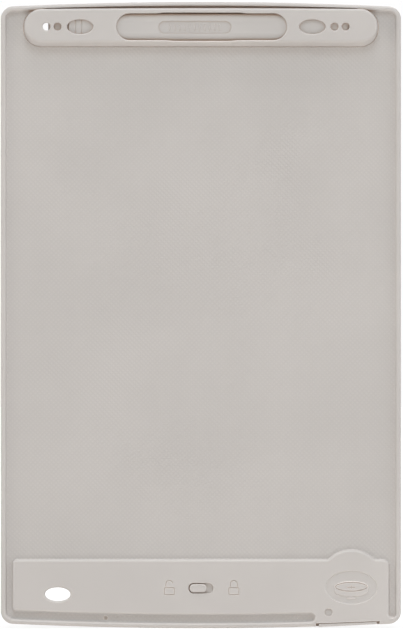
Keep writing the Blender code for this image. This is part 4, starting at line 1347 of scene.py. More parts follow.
    def hood_outline(self) -> Outline:
        """Foot line of the hood.

        Returns:
            The closed outline, anticlockwise from its lower right corner.
        """
        low = (-self.hood_half, self.hood_top - self.hood_height)
        box = rounded_box(low, (self.hood_half, self.hood_top - self.hood_bow), self.hood_corner)
        half = len(box) // 2
        return box[:half] + self.hood_crown(self.hood_half - self.hood_corner)[1:-1] + box[half:]

    def hood_crown(self, reach: float) -> Outline:
        """Slightly bowed top edge of the hood.

        Args:
            reach: How far it goes to each side.

        Returns:
            The points from right to left.
        """
        full = self.hood_half - self.hood_corner
        places = [reach * (1 - 2 * step / BOW_STEPS) for step in range(BOW_STEPS + 1)]
        return [(x, self.hood_top - self.hood_bow * (x / full) ** 2) for x in places]

    def hood_moat(self) -> Loft:
        """Fine groove along the hood's foot.

        Returns:
            The cutter, from the hood's left end round the lower side to its right end.
        """
        width, depth = self.moat
        foot = grown(self.hood_outline(), self.hood_fillet + width * GROOVE_FLOOR / 2)
        low = [point for point in foot if point[1] < self.moat_top]
        first = next(index for index, point in enumerate(low) if point[0] < 0.0)
        return groove(low[first:] + low[:first], DEPTH.panel, width, depth)

    def hood(self) -> Loft:
        """Hood over the pen: steep at its top, with a sloping flank at its lower side.

        Returns:
            The hood, sunk a little into the panel.
        """
        outline = self.hood_outline()
        bottom = self.hood_top - self.hood_height
        flanks = []
        for _, y in outline:
            share = min(1.0, max(0.0, (y - bottom) / self.hood_corner))
            flanks.append(self.hood_lower.mixed(self.hood_upper, share))
        foot = prism(grown(outline, self.hood_fillet), DEPTH.panel - MERGE, DEPTH.panel).rings
        wall = raised(outline, DEPTH.panel + self.hood_fillet, DEPTH.hood, flanks, 2 * SMALL_STEPS)
        return Loft(foot + wall)

    def relief(self, length: float, side: int) -> Loft:
        """Pocket in the channel's wall beside the middle of the pen, with sloping ends.

        Args:
            length: Its length at half its depth.
            side: 1 above the pen and -1 below it.

        Returns:
            The cutter.
        """
        inner = PEN.axis + side * (PEN.slot_half - self.relief_depth)
        outer = PEN.axis + side * (PEN.slot_half + self.relief_depth)
        long, short = length / 2 + self.relief_slope, length / 2 - self.relief_slope
        middle = self.window_x
        points = [(middle - long, inner), (middle + long, inner)]
        points += [(middle + short, outer), (middle - short, outer)]
        return prism(points if side > 0 else points[::-1], DEPTH.rear_edge - OVERSHOOT, DEPTH.hood_roof)

    def slit(self) -> Loft:
        """Crescent gap between the straight hood and the bowed rim.

        Returns:
            The cutter.
        """
        radius = arc_radius(self.slit_half, self.slit_width - self.slit_end_width)
        lean = math.degrees(math.asin(self.slit_half / radius))
        centre = (0.0, self.hood_top + self.slit_width - radius)
        crown = arc(centre, radius, 90 - lean, 90 + lean, BOW_STEPS)
        return prism(self.hood_crown(self.slit_half)[::-1] + crown, self.slit_floor, DEPTH.hood + OVERSHOOT)

    def bay(self, length: float, edge: float, end: float) -> Outline:
        """Shallow bay in a long edge of the finger window, from right to left."""
        wide, narrow = length / 2 + self.relief_slope, length / 2 - self.relief_slope
        return [(wide, edge), (narrow, end), (-narrow, end), (-wide, edge)]

    def window_outline(self) -> Outline:
        """Finger window: a slot with a shallow bay in the middle of each long edge.

        Returns:
            The closed outline, anticlockwise.
        """
        length, height = self.window
        half = height / 2
        reach = length / 2 - half
        top, bottom = self.hood_axis + half, self.hood_axis - half
        right = arc((reach, self.hood_axis), half, -90, 90, 2 * CORNER_STEPS)
        left = arc((-reach, self.hood_axis), half, 90, 270, 2 * CORNER_STEPS)
        above = self.bay(self.upper_relief, top, top + self.bay_depth)
        below = self.bay(self.lower_relief, bottom, bottom - self.bay_depth)[::-1]
        return [(x + self.window_x, y) for x, y in right + above + left + below]

    def hood_holes(self) -> list[Loft]:
        """Finger window, ovals and round holes through the hood's roof.

        Returns:
            The cutters.
        """
        outlines = [self.window_outline()]
        outlines += [ellipse((x, self.hood_axis), *self.oval) for x in self.ovals_x]
        rounds = (self.round_hole, self.round_hole, SMALL_HOLE_STEPS)
        outlines += [ellipse((x, self.hood_axis), *rounds) for x in self.round_holes_x]
        low = DEPTH.hood_roof - MERGE
        return [hole(outline, low, DEPTH.hood, self.mouth_round, Facing.BACK) for outline in outlines]

    def pod_hollow(self) -> Loft:
        """Hollow of the pod over the control board.

        Returns:
            The cutter.
        """
        edge = self.rim_width + self.channel_width
        bottom = TABLET.height_at(Edge.BOTTOM, self.pod_left, edge) + self.pod_wall
        low = (self.pod_left + self.pod_wall, bottom)
        high = (DRAWER.centre[0], self.pod_top - self.pod_wall)
        outline = rounded_box(low, high, self.hollow_corner, SMALL_STEPS)
        return prism(outline, DEPTH.rear_edge - OVERSHOOT, DEPTH.pod_roof)

    def pod_holes(self) -> list[Loft]:
        """Lanyard eye, lock slot, release hole and the small dimple of the channel.

        Returns:
            The cutters.
        """
        release = ellipse(self.release, 2 * self.release_radius, 2 * self.release_radius, SMALL_HOLE_STEPS)
        lock = stadium((0.0, LOCK.y), *self.lock_slot)
        dimple_y = TABLET.height_at(Edge.BOTTOM, self.dimple_x, self.rim_width + self.channel_width / 2)
        dimple = [
            (self.dimple_radius / 2, DEPTH.panel - self.dimple_depth),
            (self.dimple_radius, DEPTH.panel - self.dimple_depth / 2),
            (self.dimple_radius, DEPTH.panel + self.dimple_depth),
        ]
        return [
            hole(FRONT.lanyard(), DEPTH.rear_edge - OVERSHOOT, DEPTH.rim, self.eye_round, Facing.BACK),
            hole(lock, DEPTH.pod_roof - MERGE, DEPTH.rim, self.mouth_round / 2, Facing.BACK),
            hole(release, DEPTH.rim - self.release_depth, DEPTH.rim, self.mouth_round / 2, Facing.BACK),
            turned((self.dimple_x, dimple_y), dimple, DIMPLE_STEPS),
        ]

    def build(self) -> None:
        """Makes the rear cover."""
        loop = TABLET.loop()
        rings = [level(loop, DEPTH.rear_edge, -self.parting_chamfer)]
        rings.append(level(loop, DEPTH.rear_edge + self.parting_chamfer))
        shell = Solid("rear_shell", Loft(rings + rounded_edge(loop, DEPTH.rim, self.rim_round, Facing.BACK)))
        shell.cut(self.pocket())
        shell.join(self.hood())
        shell.cut(self.hood_moat())
        shell.cut(prism(PEN.slot(PEN.channel_gap), DEPTH.rear_edge - OVERSHOOT, DEPTH.hood_roof))
        shell.cut(self.relief(self.upper_relief, 1), self.relief(self.lower_relief, -1))
        heights = (DEPTH.panel - MERGE, DEPTH.panel + self.ejector_rise)
        mark = [(self.ejector_radius, height) for height in heights]
        shell.join(turned(self.ejector, mark, SMALL_HOLE_STEPS))
        shell.cut(*self.hood_holes())
        shell.cut(self.slit())
        shell.cut(self.pod_hollow())
        shell.cut(prism(DRAWER.bay(), DEPTH.rear_edge - OVERSHOOT, DEPTH.pod_roof))
        collar = grown(FRONT.lanyard(), FRONT.collar_wall)
        shell.join(prism(collar, DEPTH.rear_edge, DEPTH.pod_roof + MERGE))
        shell.cut(*self.pod_holes())
        shell.cut(prism(DRAWER.notch(), DEPTH.rear_edge - OVERSHOOT, DEPTH.rim + OVERSHOOT))
        shell.cut(*[lock.case() for lock in self.padlocks])
        shell.cut(*[lock.shackle() for lock in self.padlocks])
        shell.cut(SIGN.field())
        shell.join(SIGN.coin(), SIGN.minus())
        shell.cut(SIGN.face_line(), SIGN.plus())
        shell.settle(Coat.REAR, "shell", Body.TABLET, "rear_cover")


@dataclass
class CellSign:
    """Moulded picture on the pod that shows how the coin cell lies: a raised coin in a sunk field."""

    centre: Point = (0.0543, 0.01465)
    field_size: Pair = (0.0190, 0.0122)
    field_depth: float = 0.00034
    field_slope: float = 0.00032
    disc_y: float = 0.01495
    disc: Pair = (0.0125, 0.0042)
    disc_drop: float = 0.0016
    coin_rise: float = 0.00032
    coin_slope: float = 0.00030
    line: float = 0.00036
    line_depth: float = 0.00028
    line_inset: float = 0.00050
    plus_y: float = 0.01475
    plus_size: Pair = (0.0030, 0.0013)
    minus_y: float = 0.01085
    minus_size: Pair = (0.0033, 0.00064)
    minus_corner: float = 0.000286
    minus_slope: float = 0.00026

    @property
    def floor(self) -> float:
        """Depth of the field's floor."""
        return DEPTH.rim - self.field_depth

    @property
    def face(self) -> float:
        """Depth of the coin's face."""
        return self.floor + self.coin_rise

    def field(self) -> Loft:
        """The sunk field with its sloping edge.

        Returns:
            The cutter.
        """
        outline = ellipse(self.centre, *self.field_size, 2 * HOLE_STEPS)
        above = level(outline, DEPTH.rim + self.field_depth, self.field_slope)
        return Loft([level(outline, self.floor, -self.field_slope), level(outline, DEPTH.rim), above])

    def raised_form(self, outline: Outline, slope: float) -> Loft:
        """A low form on the field's floor with sloping sides."""
        foot = prism(outline, self.floor - MERGE, self.floor).rings
        return Loft(foot + [level(outline, self.face, -slope)])

    def coin(self) -> Loft:
        """The coin seen at a slant.

        Returns:
            A form with the coin's face and, below it, its edge.
        """
        upper = ellipse((self.centre[0], self.disc_y), *self.disc)
        lower = ellipse((self.centre[0], self.disc_y - self.disc_drop), *self.disc)
        half = len(upper) // 2
        return self.raised_form(upper[:half + 1] + lower[half:] + lower[:1], self.coin_slope)

    def face_line(self) -> Loft:
        """Groove between the coin's face and its rim."""
        outline = grown(ellipse((self.centre[0], self.disc_y), *self.disc), -self.line_inset)
        return groove_ring(outline, self.face, self.line, self.line_depth)

    def plus(self) -> Loft:
        """Cutter of the plus sign on the coin's face."""
        outline = plus_sign((self.centre[0], self.plus_y), self.plus_size, self.line)
        return prism(outline, self.face - self.line_depth, self.face + OVERSHOOT)

    def minus(self) -> Loft:
        """Bar of the minus sign below the coin."""
        outline = centred_box((self.centre[0], self.minus_y), *self.minus_size, self.minus_corner)
        return self.raised_form(outline, self.minus_slope)


@dataclass
class FrontShell:
    """Front frame: bezel round the screen, slot for the pen, hole for the erase button, lanyard eye."""

    edge_round: float = 0.0010
    parting_chamfer: float = 0.00018
    side_wall: float = 0.0016
    collar_wall: float = 0.0011
    screen_half: float = 0.0630
    screen_bottom: float = 0.0300
    screen_top: float = 0.2055
    screen_corner: float = 0.0030
    screen_round: float = 0.0008
    mouth_round: float = 0.00035
    lanyard_middle: Point = (-0.0517, 0.0122)
    lanyard_size: Pair = (0.0092, 0.0050)
    stack_reach: float = 0.0025
    rib: float = 0.0008
    rib_length: float = 0.0140
    rib_shares: tuple[float, ...] = (0.2, 0.5, 0.8)
    rib_top: float = 0.00225
    guide_rib: float = 0.0012
    bosses: tuple[Point, ...] = ((-0.0190, 0.0192), (0.0365, 0.0116))
    boss_radius: float = 0.0021
    boss_bore: float = 0.00085
    boss_top: float = 0.00305
    bore_floor: float = 0.0015

    def lanyard(self) -> Outline:
        """Outline of the lanyard eye."""
        return ellipse(self.lanyard_middle, *self.lanyard_size)

    def screen(self) -> Outline:
        """Outline of the screen window."""
        low = (-self.screen_half, self.screen_bottom)
        return rounded_box(low, (self.screen_half, self.screen_top), self.screen_corner)

    def ribs(self) -> list[Loft]:
        """Ribs that keep the screen stack from shifting, and the rails beside the drawer.

        Returns:
            The ribs and rails.
        """
        low = DEPTH.face_wall - MERGE
        side = self.screen_half + self.stack_reach
        top = self.screen_top + self.stack_reach
        reach = self.rib_length / 2
        outlines = []
        for share in self.rib_shares:
            y = self.screen_bottom + share * (self.screen_top - self.screen_bottom)
            for left in (side, -side - self.rib):
                outlines.append(plain_box(left, y - reach, left + self.rib, y + reach))
            x = (2 * share - 1) * self.screen_half
            outlines.append(plain_box(x - reach, top, x + reach, top + self.rib))
        ribs = [prism(outline, low, self.rib_top) for outline in outlines]
        middle = DRAWER.centre[0]
        for left in (middle - DRAWER.bay_half - self.guide_rib, middle + DRAWER.bay_half):
            rail = plain_box(left, self.side_wall, left + self.guide_rib, DRAWER.centre[1])
            ribs.append(prism(rail, low, DEPTH.front_edge))
        return ribs

    def posts(self, radius: float, low: float, high: float) -> list[Loft]:
        """Turned forms at the places of the screw bosses."""
        return [turned(middle, [(radius, low), (radius, high)], SMALL_HOLE_STEPS) for middle in self.bosses]

    @staticmethod
    def opening(outline: Outline, radius: float) -> Loft:
        """Cutter through the front wall with a rounded mouth in the front face."""
        return hole(outline, DEPTH.front_edge + OVERSHOOT, 0.0, radius, Facing.FRONT)

    def build(self) -> None:
        """Makes the front frame."""
        loop = TABLET.loop()
        rings = rounded_edge(loop, 0.0, self.edge_round, Facing.FRONT)[::-1]
        rings.append(level(loop, DEPTH.front_edge - self.parting_chamfer))
        rings.append(level(loop, DEPTH.front_edge, -self.parting_chamfer))
        shell = Solid("front_shell", Loft(rings))
        above = DEPTH.front_edge + OVERSHOOT
        shell.cut(prism(TABLET.loop(self.side_wall), DEPTH.face_wall, above))
        low = DEPTH.face_wall - MERGE
        shell.join(
            prism(grown(PEN.slot(PEN.channel_gap), self.collar_wall), low, DEPTH.front_edge),
            prism(grown(self.lanyard(), self.collar_wall), low, DEPTH.front_edge),
            *self.posts(self.boss_radius, low, self.boss_top),
        )
        shell.join(*self.ribs())
        shell.cut(
            self.opening(self.screen(), self.screen_round),
            self.opening(PEN.slot(PEN.snap_gap), self.mouth_round),
            self.opening(grown(ERASER.outline(), ERASER.gap), self.mouth_round),
            self.opening(self.lanyard(), self.mouth_round),
            *self.posts(self.boss_bore, self.bore_floor, above),
        )
        shell.cut(prism(DRAWER.bay(), DEPTH.face_wall, above))
        shell.settle(Coat.SHELL, "shell", Body.TABLET, "front_frame")


OVAL = 2.0


@dataclass
class WritingPen:
    """Pen under the hood: squared oval barrel, cone, nib and a narrower tail plug."""

    axis: float = 0.2168
    depth: float = 0.0037
    half_width: float = 0.00500
    half_depth: float = 0.00345
    squareness: float = 8.0
    crown: float = 0.16
    sides: int = 96
    tail_x: float = -0.0551
    barrel_x: float = -0.0478
    cone_x: float = 0.0515
    cone_end_x: float = 0.0570
    cone_power: float = 1.6
    tip_radius: float = 0.0017
    nib_x: float = 0.0600
    nib_radius: float = 0.0010
    nib_end: float = 0.00005
    nib_stem: float = 0.0040
    tail_half: Pair = (0.0038, 0.0032)
    tail_stem: Pair = (0.0050, 0.0016)
    tail_round: float = 0.0005
    grooves_x: Pair = (-0.0453, -0.0431)
    groove_half: float = 0.00042
    groove_depth: float = 0.0003
    recess_x: float = -0.0022
    recess_size: Pair = (0.0262, 0.0045)
    recess_depth: float = 0.00062
    recess_round: float = 0.00022
    grip_pitch: float = 0.0018
    grip_count: int = 11
    grip: Pair = (0.0006, 0.0024)
    grip_corner: float = 0.00027
    grip_rise: float = 0.00030
    slot_end_gap: float = 0.0024
    slot_corner: float = 0.0040
    snap_gap: float = 0.00004
    channel_gap: float = 0.00010

    @property
    def slot_half(self) -> float:
        """Half of the slot's width across the pen."""
        return self.half_width + self.channel_gap

    def slot(self, gap: float) -> Outline:
        """Outline of the slot through the front and of the channel under the hood.

        Args:
            gap: Gap beside the pen.

        Returns:
            The closed outline.
        """
        half = self.half_width + gap
        low = (self.tail_x - self.slot_end_gap, self.axis - half)
        high = (self.nib_x + self.slot_end_gap, self.axis + half)
        return rounded_box(low, high, self.slot_corner, ROUND_STEPS)

    def section(self, x: float, half_width: float, half_depth: float, squareness: float = OVAL) -> Ring:
        """Section across the pen's axis: a rounded, more or less squared oval.

        Args:
            x: Place along the axis.
            half_width: Half of its width.
            half_depth: Half of its depth.
            squareness: Power of the oval.

        Returns:
            The points of the section.
        """
        power = 2 / squareness
        crown = self.crown * (squareness - OVAL) / (self.squareness - OVAL)
        points = []
        for step in range(self.sides):
            angle = 2 * math.pi * (step + 0.5) / self.sides
            across, deep = math.cos(angle), math.sin(angle)
            aside = abs(across) ** power
            y = self.axis + half_width * math.copysign(aside, across)
            z = self.depth + half_depth * math.copysign(abs(deep) ** power, deep) * (1 - crown * aside**2)
            points.append((x, y, z))
        return points

    def rod(self, start: float, end: float, radius: float) -> Loft:
        """A round rod along the axis."""
        return Loft([self.section(x, radius, radius) for x in (start, end)])

    def barrel(self) -> Loft:
        """Barrel with its rounded tail end, two grooves and the cone.

        Returns:
            The barrel without its recesses.
        """
        size = self.groove_depth
        stations = [(self.barrel_x + size * along, size * below) for along, below in quarter(SMALL_STEPS)]
        for x in self.grooves_x:
            for step in range(-SMALL_STEPS, SMALL_STEPS + 1):
                share = step / SMALL_STEPS
                stations.append((x + share * self.groove_half, size * (1 + math.cos(math.pi * share)) / 2))
        stations.append((self.cone_x, 0.0))
        rings = []
        for x, inset in stations:
            rings.append(self.section(x, self.half_width - inset, self.half_depth - inset, self.squareness))
        for step in range(1, 2 * ROUND_STEPS + 1):
            share = step / (2 * ROUND_STEPS)
            narrow = share**self.cone_power
            width = self.half_width + narrow * (self.tip_radius - self.half_width)
            deep = self.half_depth + narrow * (self.tip_radius - self.half_depth)
            x = self.cone_x + share * (self.cone_end_x - self.cone_x)
            rings.append(self.section(x, width, deep, self.squareness + share * (OVAL - self.squareness)))
        return Loft(rings)

    def grip_ribs(self, floor: float) -> list[Loft]:
        """Row of small ribs in the grip's recess.

        Args:
            floor: Depth of the recess.

        Returns:
            The ribs.
        """
        top = floor + self.grip_rise
        ribs = []
        for index in range(self.grip_count):
            x = self.recess_x + (index - (self.grip_count - 1) / 2) * self.grip_pitch
            rib = centred_box((x, self.axis), *self.grip, self.grip_corner)
            crest = rounded_edge(rib, top, self.grip_rise, Facing.BACK, SMALL_STEPS)
            ribs.append(Loft([level(rib, floor - MERGE)] + crest))
        return ribs

    def build(self) -> None:
        """Makes the barrel with its grip, the nib and the tail plug."""
        back = self.depth + self.half_depth
        floor = back - self.recess_depth
        over = OVERSHOOT / 2
        outline = stadium((self.recess_x, self.axis), *self.recess_size)
        recess = prism(outline, floor, back - self.recess_round).rings
        stem_length, stem_radius = self.tail_stem
        tail_end = self.barrel_x + stem_length + FIT_GAP
        nib_end = self.cone_end_x - self.nib_stem - FIT_GAP
        barrel = Solid("pen_body", self.barrel())
        barrel.cut(
            Loft(recess + [level(outline, back + over, self.recess_round + over)]),
            self.rod(self.barrel_x - OVERSHOOT, tail_end, stem_radius + STACK_GAP),
            self.rod(nib_end, self.cone_end_x + OVERSHOOT, self.nib_radius + STACK_GAP),
        )
        barrel.join(*self.grip_ribs(floor))
        barrel.settle(Coat.PEN, "pen", Body.PEN, "pen_barrel")
        self.build_nib()
        self.build_tail()

    def build_nib(self) -> None:
        """Makes the nib with its round tip."""
        rings = [self.section(self.cone_end_x - self.nib_stem, self.nib_radius, self.nib_radius)]
        for inward, below in quarter(ROUND_STEPS)[:-1]:
            radius = self.nib_radius * (1 - inward)
            rings.append(self.section(self.nib_x - self.nib_radius * below, radius, radius))
        rings.append(self.section(self.nib_x, self.nib_end, self.nib_end))
        Solid("pen_tip", Loft(rings)).settle(Coat.NIB, "nib", Body.PEN, "pen_nib")

    def build_tail(self) -> None:
        """Makes the tail plug with a rounded end."""
        width, deep = self.tail_half
        rings = []
        for along, below in quarter(SMALL_STEPS):
            inset = self.tail_round * below
            x = self.tail_x + self.tail_round * along
            rings.append(self.section(x, width - inset, deep - inset, self.squareness))
        end = self.barrel_x - STACK_GAP
        rings.append(self.section(end, width, deep, self.squareness))
        stem_length, stem_radius = self.tail_stem
        rings += self.rod(end, self.barrel_x + stem_length, stem_radius).rings
        Solid("pen_plug", Loft(rings)).settle(Coat.PEN, "pen", Body.PEN, "pen_tail_plug")


@dataclass
class EraseKey:
    """Erase button in the front face, with an engraved bin."""

    y: float = 0.0144
    size: Pair = (0.0240, 0.0090)
    recess: float = 0.00015
    edge_round: float = 0.0004
    gap: float = 0.0003
    flange: float = 0.0010
    flange_z: float = 0.00125
    flange_thickness: float = 0.0004
    sign_line: float = 0.00042
    sign_depth: float = 0.00018
    bin_half: float = 0.00125
    bin_taper: float = 0.00025
    bin_span: Pair = (-0.0014, 0.0007)
    lid_gap: float = 0.000504
    lid_width: float = 0.00325
    handle_width: float = 0.001375
    bar: Pair = (0.000336, 0.00133)
    bar_x: float = 0.0004
    bar_y: float = -0.000392

    def outline(self) -> Outline:
        """Outline of the button."""
        return stadium((0.0, self.y), *self.size)

    def sign(self) -> list[Loft]:
        """Grooves of the bin: case, two bars, lid and handle.

        Returns:
            The cutters.
        """
        foot = self.bin_half - self.bin_taper
        bottom, top = self.y + self.bin_span[0], self.y + self.bin_span[1]
        case = [(-foot, bottom), (foot, bottom), (self.bin_half, top), (-self.bin_half, top)]
        low, high = self.recess + self.sign_depth, self.recess - self.sign_depth
        half = self.sign_line / 2
        outer = [level(case, high, half), level(case, low, half)]
        inner = [level(case, low, -half), level(case, high, -half)]
        lid_y = top + self.lid_gap
        parts = [
            stadium((0.0, lid_y), self.lid_width, self.sign_line, SMALL_STEPS),
            stadium((0.0, lid_y + self.lid_gap), self.handle_width, self.sign_line, SMALL_STEPS),
            upright_stadium((-self.bar_x, self.y + self.bar_y), *self.bar),
            upright_stadium((self.bar_x, self.y + self.bar_y), *self.bar),
        ]
        return [Loft(outer + inner, looped=True)] + [prism(part, high, low) for part in parts]

    def build(self) -> None:
        """Makes the button with its flange behind the face."""
        outline = self.outline()
        rings = rounded_edge(outline, self.recess, self.edge_round, Facing.FRONT)[::-1]
        rings.append(level(outline, self.flange_z))
        wide = grown(outline, self.flange)
        rings += prism(wide, self.flange_z, self.flange_z + self.flange_thickness).rings
        key = Solid("erase_key", Loft(rings))
        key.cut(*self.sign())
        key.settle(Coat.SHELL, "shell", Body.ERASER, "erase_button")


@dataclass
class LockSlide:
    """Lock slider in the pod: knob with a dished top, on a plate under the roof."""

    y: float = 0.0144
    rest_x: float = -0.000975
    knob: Pair = (0.0062, 0.0030)
    knob_corner: float = 0.0014
    rise: float = 0.00035
    edge_round: float = 0.0005
    plate_margin: float = 0.0026
    plate_top: float = 0.0049
    plate_thickness: float = 0.00035
    dish: float = 0.0005
    dish_depth: float = 0.00010

    def build(self) -> None:
        """Makes the knob and its plate."""
        outline = centred_box((self.rest_x, self.y), *self.knob, self.knob_corner, CORNER_STEPS)
        plate = grown(outline, self.plate_margin)
        face = DEPTH.rim + self.rise
        rings = prism(plate, self.plate_top - self.plate_thickness, self.plate_top).rings
        rings.append(level(outline, self.plate_top))
        rings += rounded_edge(outline, face, self.edge_round, Facing.BACK, SMALL_STEPS)
        rings.append(level(outline, face - self.dish_depth, -self.edge_round - self.dish))
        Solid("lock_knob", Loft(rings)).settle(Coat.KNOB, "shell", Body.LOCK, "lock_slider")


@dataclass
class BatteryDrawer:
    """Drawer in the bottom edge with the coin cell in its tray."""

    centre: Point = (0.0530, 0.0156)
    bay_half: float = 0.0115
    bay_step: float = 0.0005
    tray_half: float = 0.0112
    tray_z: float = 0.0014
    wall_top: float = 0.00445
    pocket_radius: float = 0.0103
    ledge_width: float = 0.0016
    ledge_thickness: float = 0.0005
    lip_half: float = 0.01045
    lip_thickness: float = 0.00105
    lip_proud: Pair = (0.0002, -0.0001)
    lip_gap: float = 0.00013
    lip_below: float = 0.0002
    lip_round: float = 0.0003
    cell_z: float = 0.00205
    cell_radius: float = 0.0100
    cell_thickness: float = 0.0025
    cap_radius: float = 0.0087
    cap_rise: float = 0.00025
    skirt_step: float = 0.00005
    cell_round: float = 0.0004
    plus_size: Pair = (0.0052, 0.0052)
    plus_line: float = 0.0008
    plus_depth: float = 0.00012

    def bay(self) -> Outline:
        """Space for the drawer, open at the bottom edge, with a round end.

        Returns:
            The closed outline, anticlockwise.
        """
        x, y = self.centre
        left, right = x - self.bay_half, x + self.bay_half
        end = arc(self.centre, self.bay_half - self.bay_step, 0, 180, 3 * CORNER_STEPS)
        return [(left, -OVERSHOOT), (right, -OVERSHOOT), (right, y)] + end + [(left, y)]

    def notch(self) -> Outline:
        """Bite out of the rear cover's edge in which the lip lies.

        Returns:
            The closed outline, anticlockwise.
        """
        left, right = self.centre[0] - self.bay_half, self.centre[0] + self.bay_half
        strip = TABLET.strip(left, right, 0.0, self.lip_thickness + self.lip_gap)
        return [(left, -OVERSHOOT), (right, -OVERSHOOT)] + strip[len(strip) // 2:]

    def lip(self, inner: float) -> Outline:
        """Lip along the bottom edge, a little proud of it at the left.

        Args:
            inner: Inset of its inner side.

        Returns:
            The closed outline, anticlockwise.
        """
        x = self.centre[0]
        strip = TABLET.strip(x - self.lip_half, x + self.lip_half, 0.0, inner)
        count = len(strip) // 2
        lower = []
        for point_x, point_y in strip[:count]:
            share = 0.5 + (point_x - x) / (2 * self.lip_half)
            proud = self.lip_proud[0] + share * (self.lip_proud[1] - self.lip_proud[0])
            lower.append((point_x, point_y - proud))
        return lower + strip[count:]

    def tray(self) -> Outline:
        """Tray block behind the lip.

        Returns:
            The closed outline, anticlockwise.
        """
        x, y = self.centre
        left, right = x - self.tray_half, x + self.tray_half
        depth = self.lip_thickness + self.lip_gap + FIT_GAP
        strip = TABLET.strip(left, right, depth, depth + OVERSHOOT)
        return strip[:len(strip) // 2] + [(right, y - FIT_GAP), (left, y - FIT_GAP)]

    def build(self) -> None:
        """Makes the drawer and the coin cell."""
        drawer = Solid("cell_drawer", prism(self.tray(), self.tray_z, self.wall_top))
        lip = self.lip(self.lip_thickness)
        edge = rounded_edge(lip, DEPTH.rim - self.lip_below, self.lip_round, Facing.BACK, SMALL_STEPS)
        drawer.join(Loft([level(lip, self.tray_z)] + edge))
        neck = self.lip(self.lip_thickness + self.lip_gap + 2 * FIT_GAP)
        drawer.join(prism(neck, self.tray_z, self.wall_top - STACK_GAP))
        floor = self.tray_z + self.ledge_thickness
        hollow = self.pocket_radius - self.ledge_width
        profile = [
            (hollow, self.tray_z - OVERSHOOT),
            (hollow, floor),
            (self.pocket_radius, floor),
            (self.pocket_radius, self.wall_top + OVERSHOOT),
        ]
        drawer.cut(turned(self.centre, profile, 2 * HOLE_STEPS))
        drawer.settle(Coat.SHELL, "shell", Body.DRAWER, "battery_drawer")
        self.build_cell()

    def build_cell(self) -> None:
        """Makes the coin cell: narrower cap to the front, the can's face with a plus sign to the back."""
        can = self.cell_z + self.cap_rise
        top = self.cell_z + self.cell_thickness
        size = self.cell_round
        profile = [(self.cap_radius - size, self.cell_z), (self.cap_radius, can)]
        profile.append((self.cell_radius - size, can))
        for up, out in quarter(SMALL_STEPS):
            profile.append((self.cell_radius - size * out, can + size * up + self.skirt_step))
        for inward, below in quarter(SMALL_STEPS):
            profile.append((self.cell_radius - size * inward, top - size * below))
        cell = Solid("coin_can", turned(self.centre, profile, 2 * HOLE_STEPS))
        plus = plus_sign(self.centre, self.plus_size, self.plus_line)
        cell.cut(prism(plus, top - self.plus_depth, top + OVERSHOOT))
        cell.settle(Coat.CELL, "cell", Body.DRAWER, "coin_cell")


PEN = WritingPen()
SIGN = CellSign()
FRONT = FrontShell()
ERASER = EraseKey()
LOCK = LockSlide()
DRAWER = BatteryDrawer()

INNER_COATS = {
    "lcd_panel": Coat.SCREEN,
    "lcd_tape": Coat.TAPE,
    "backing_sheet": Coat.BACKING,
    "lcd_tail": Coat.CONDUCTOR,
    "control_board": Coat.BOARD,
    "controller_chip": Coat.CHIP,
    "boost_capacitor": Coat.CERAMIC,
    "filter_capacitor": Coat.CERAMIC,
    "boost_inductor": Coat.FERRITE,
    "board_screw_left": Coat.STEEL,
    "board_screw_right": Coat.STEEL,
    "erase_switch_plunger": Coat.CHIP,
    "erase_switch_body": Coat.STEEL,
    "lock_wiper": Coat.CONTACT,
    "positive_contact": Coat.CONTACT,
    "negative_contact": Coat.CONTACT,
}


@dataclass
class InnerParts:
    """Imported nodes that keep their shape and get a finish."""

    nodes: dict[str, bpy.types.Object]

    def dress(self) -> None:
        """Gives each of these nodes its material."""
        for name, coat in INNER_COATS.items():
            mesh = self.nodes[name].data
            mesh.materials.clear()
            mesh.materials.append(coat.material)
            LOG.info("%s: %s", name, coat.value.name)


@dataclass(frozen=True)
class Lamp:
    """A soft rectangular light that looks at the tablet's middle.

    Attributes:
        name: Name of the light.
        rise: Its height as an angle in degrees; below 0 it shines up past the floor.
        turn: Its direction in degrees: 0 before the back, 90 at the right side, 180 before the screen.
        distance: How far away it stands.
        power: Its power in watts.
        width: Its width.
        height: Its height.
        colour: Its colour.
    """

    name: str
    rise: float
    turn: float
    distance: float
    power: float
    width: float
    height: float
    colour: Colour

    def build(self, middle: Vector) -> None:
        """Adds the light to the scene.

        Args:
            middle: The point that it looks at.
        """
        data = bpy.data.lights.new(self.name, "AREA")
        data.shape = "RECTANGLE"
        data.energy = self.power
        data.size = self.width
        data.size_y = self.height
        data.color = self.colour
        made = bpy.data.objects.new(self.name, data)
        rise, turn = math.radians(self.rise), math.radians(self.turn)
        away = Vector((math.sin(turn) * math.cos(rise), -math.cos(turn) * math.cos(rise), math.sin(rise)))
        made.location = middle + self.distance * away
        made.rotation_euler = (-away).to_track_quat("-Z", "Y").to_euler()
        made.visible_camera = False
        bpy.context.scene.collection.objects.link(made)


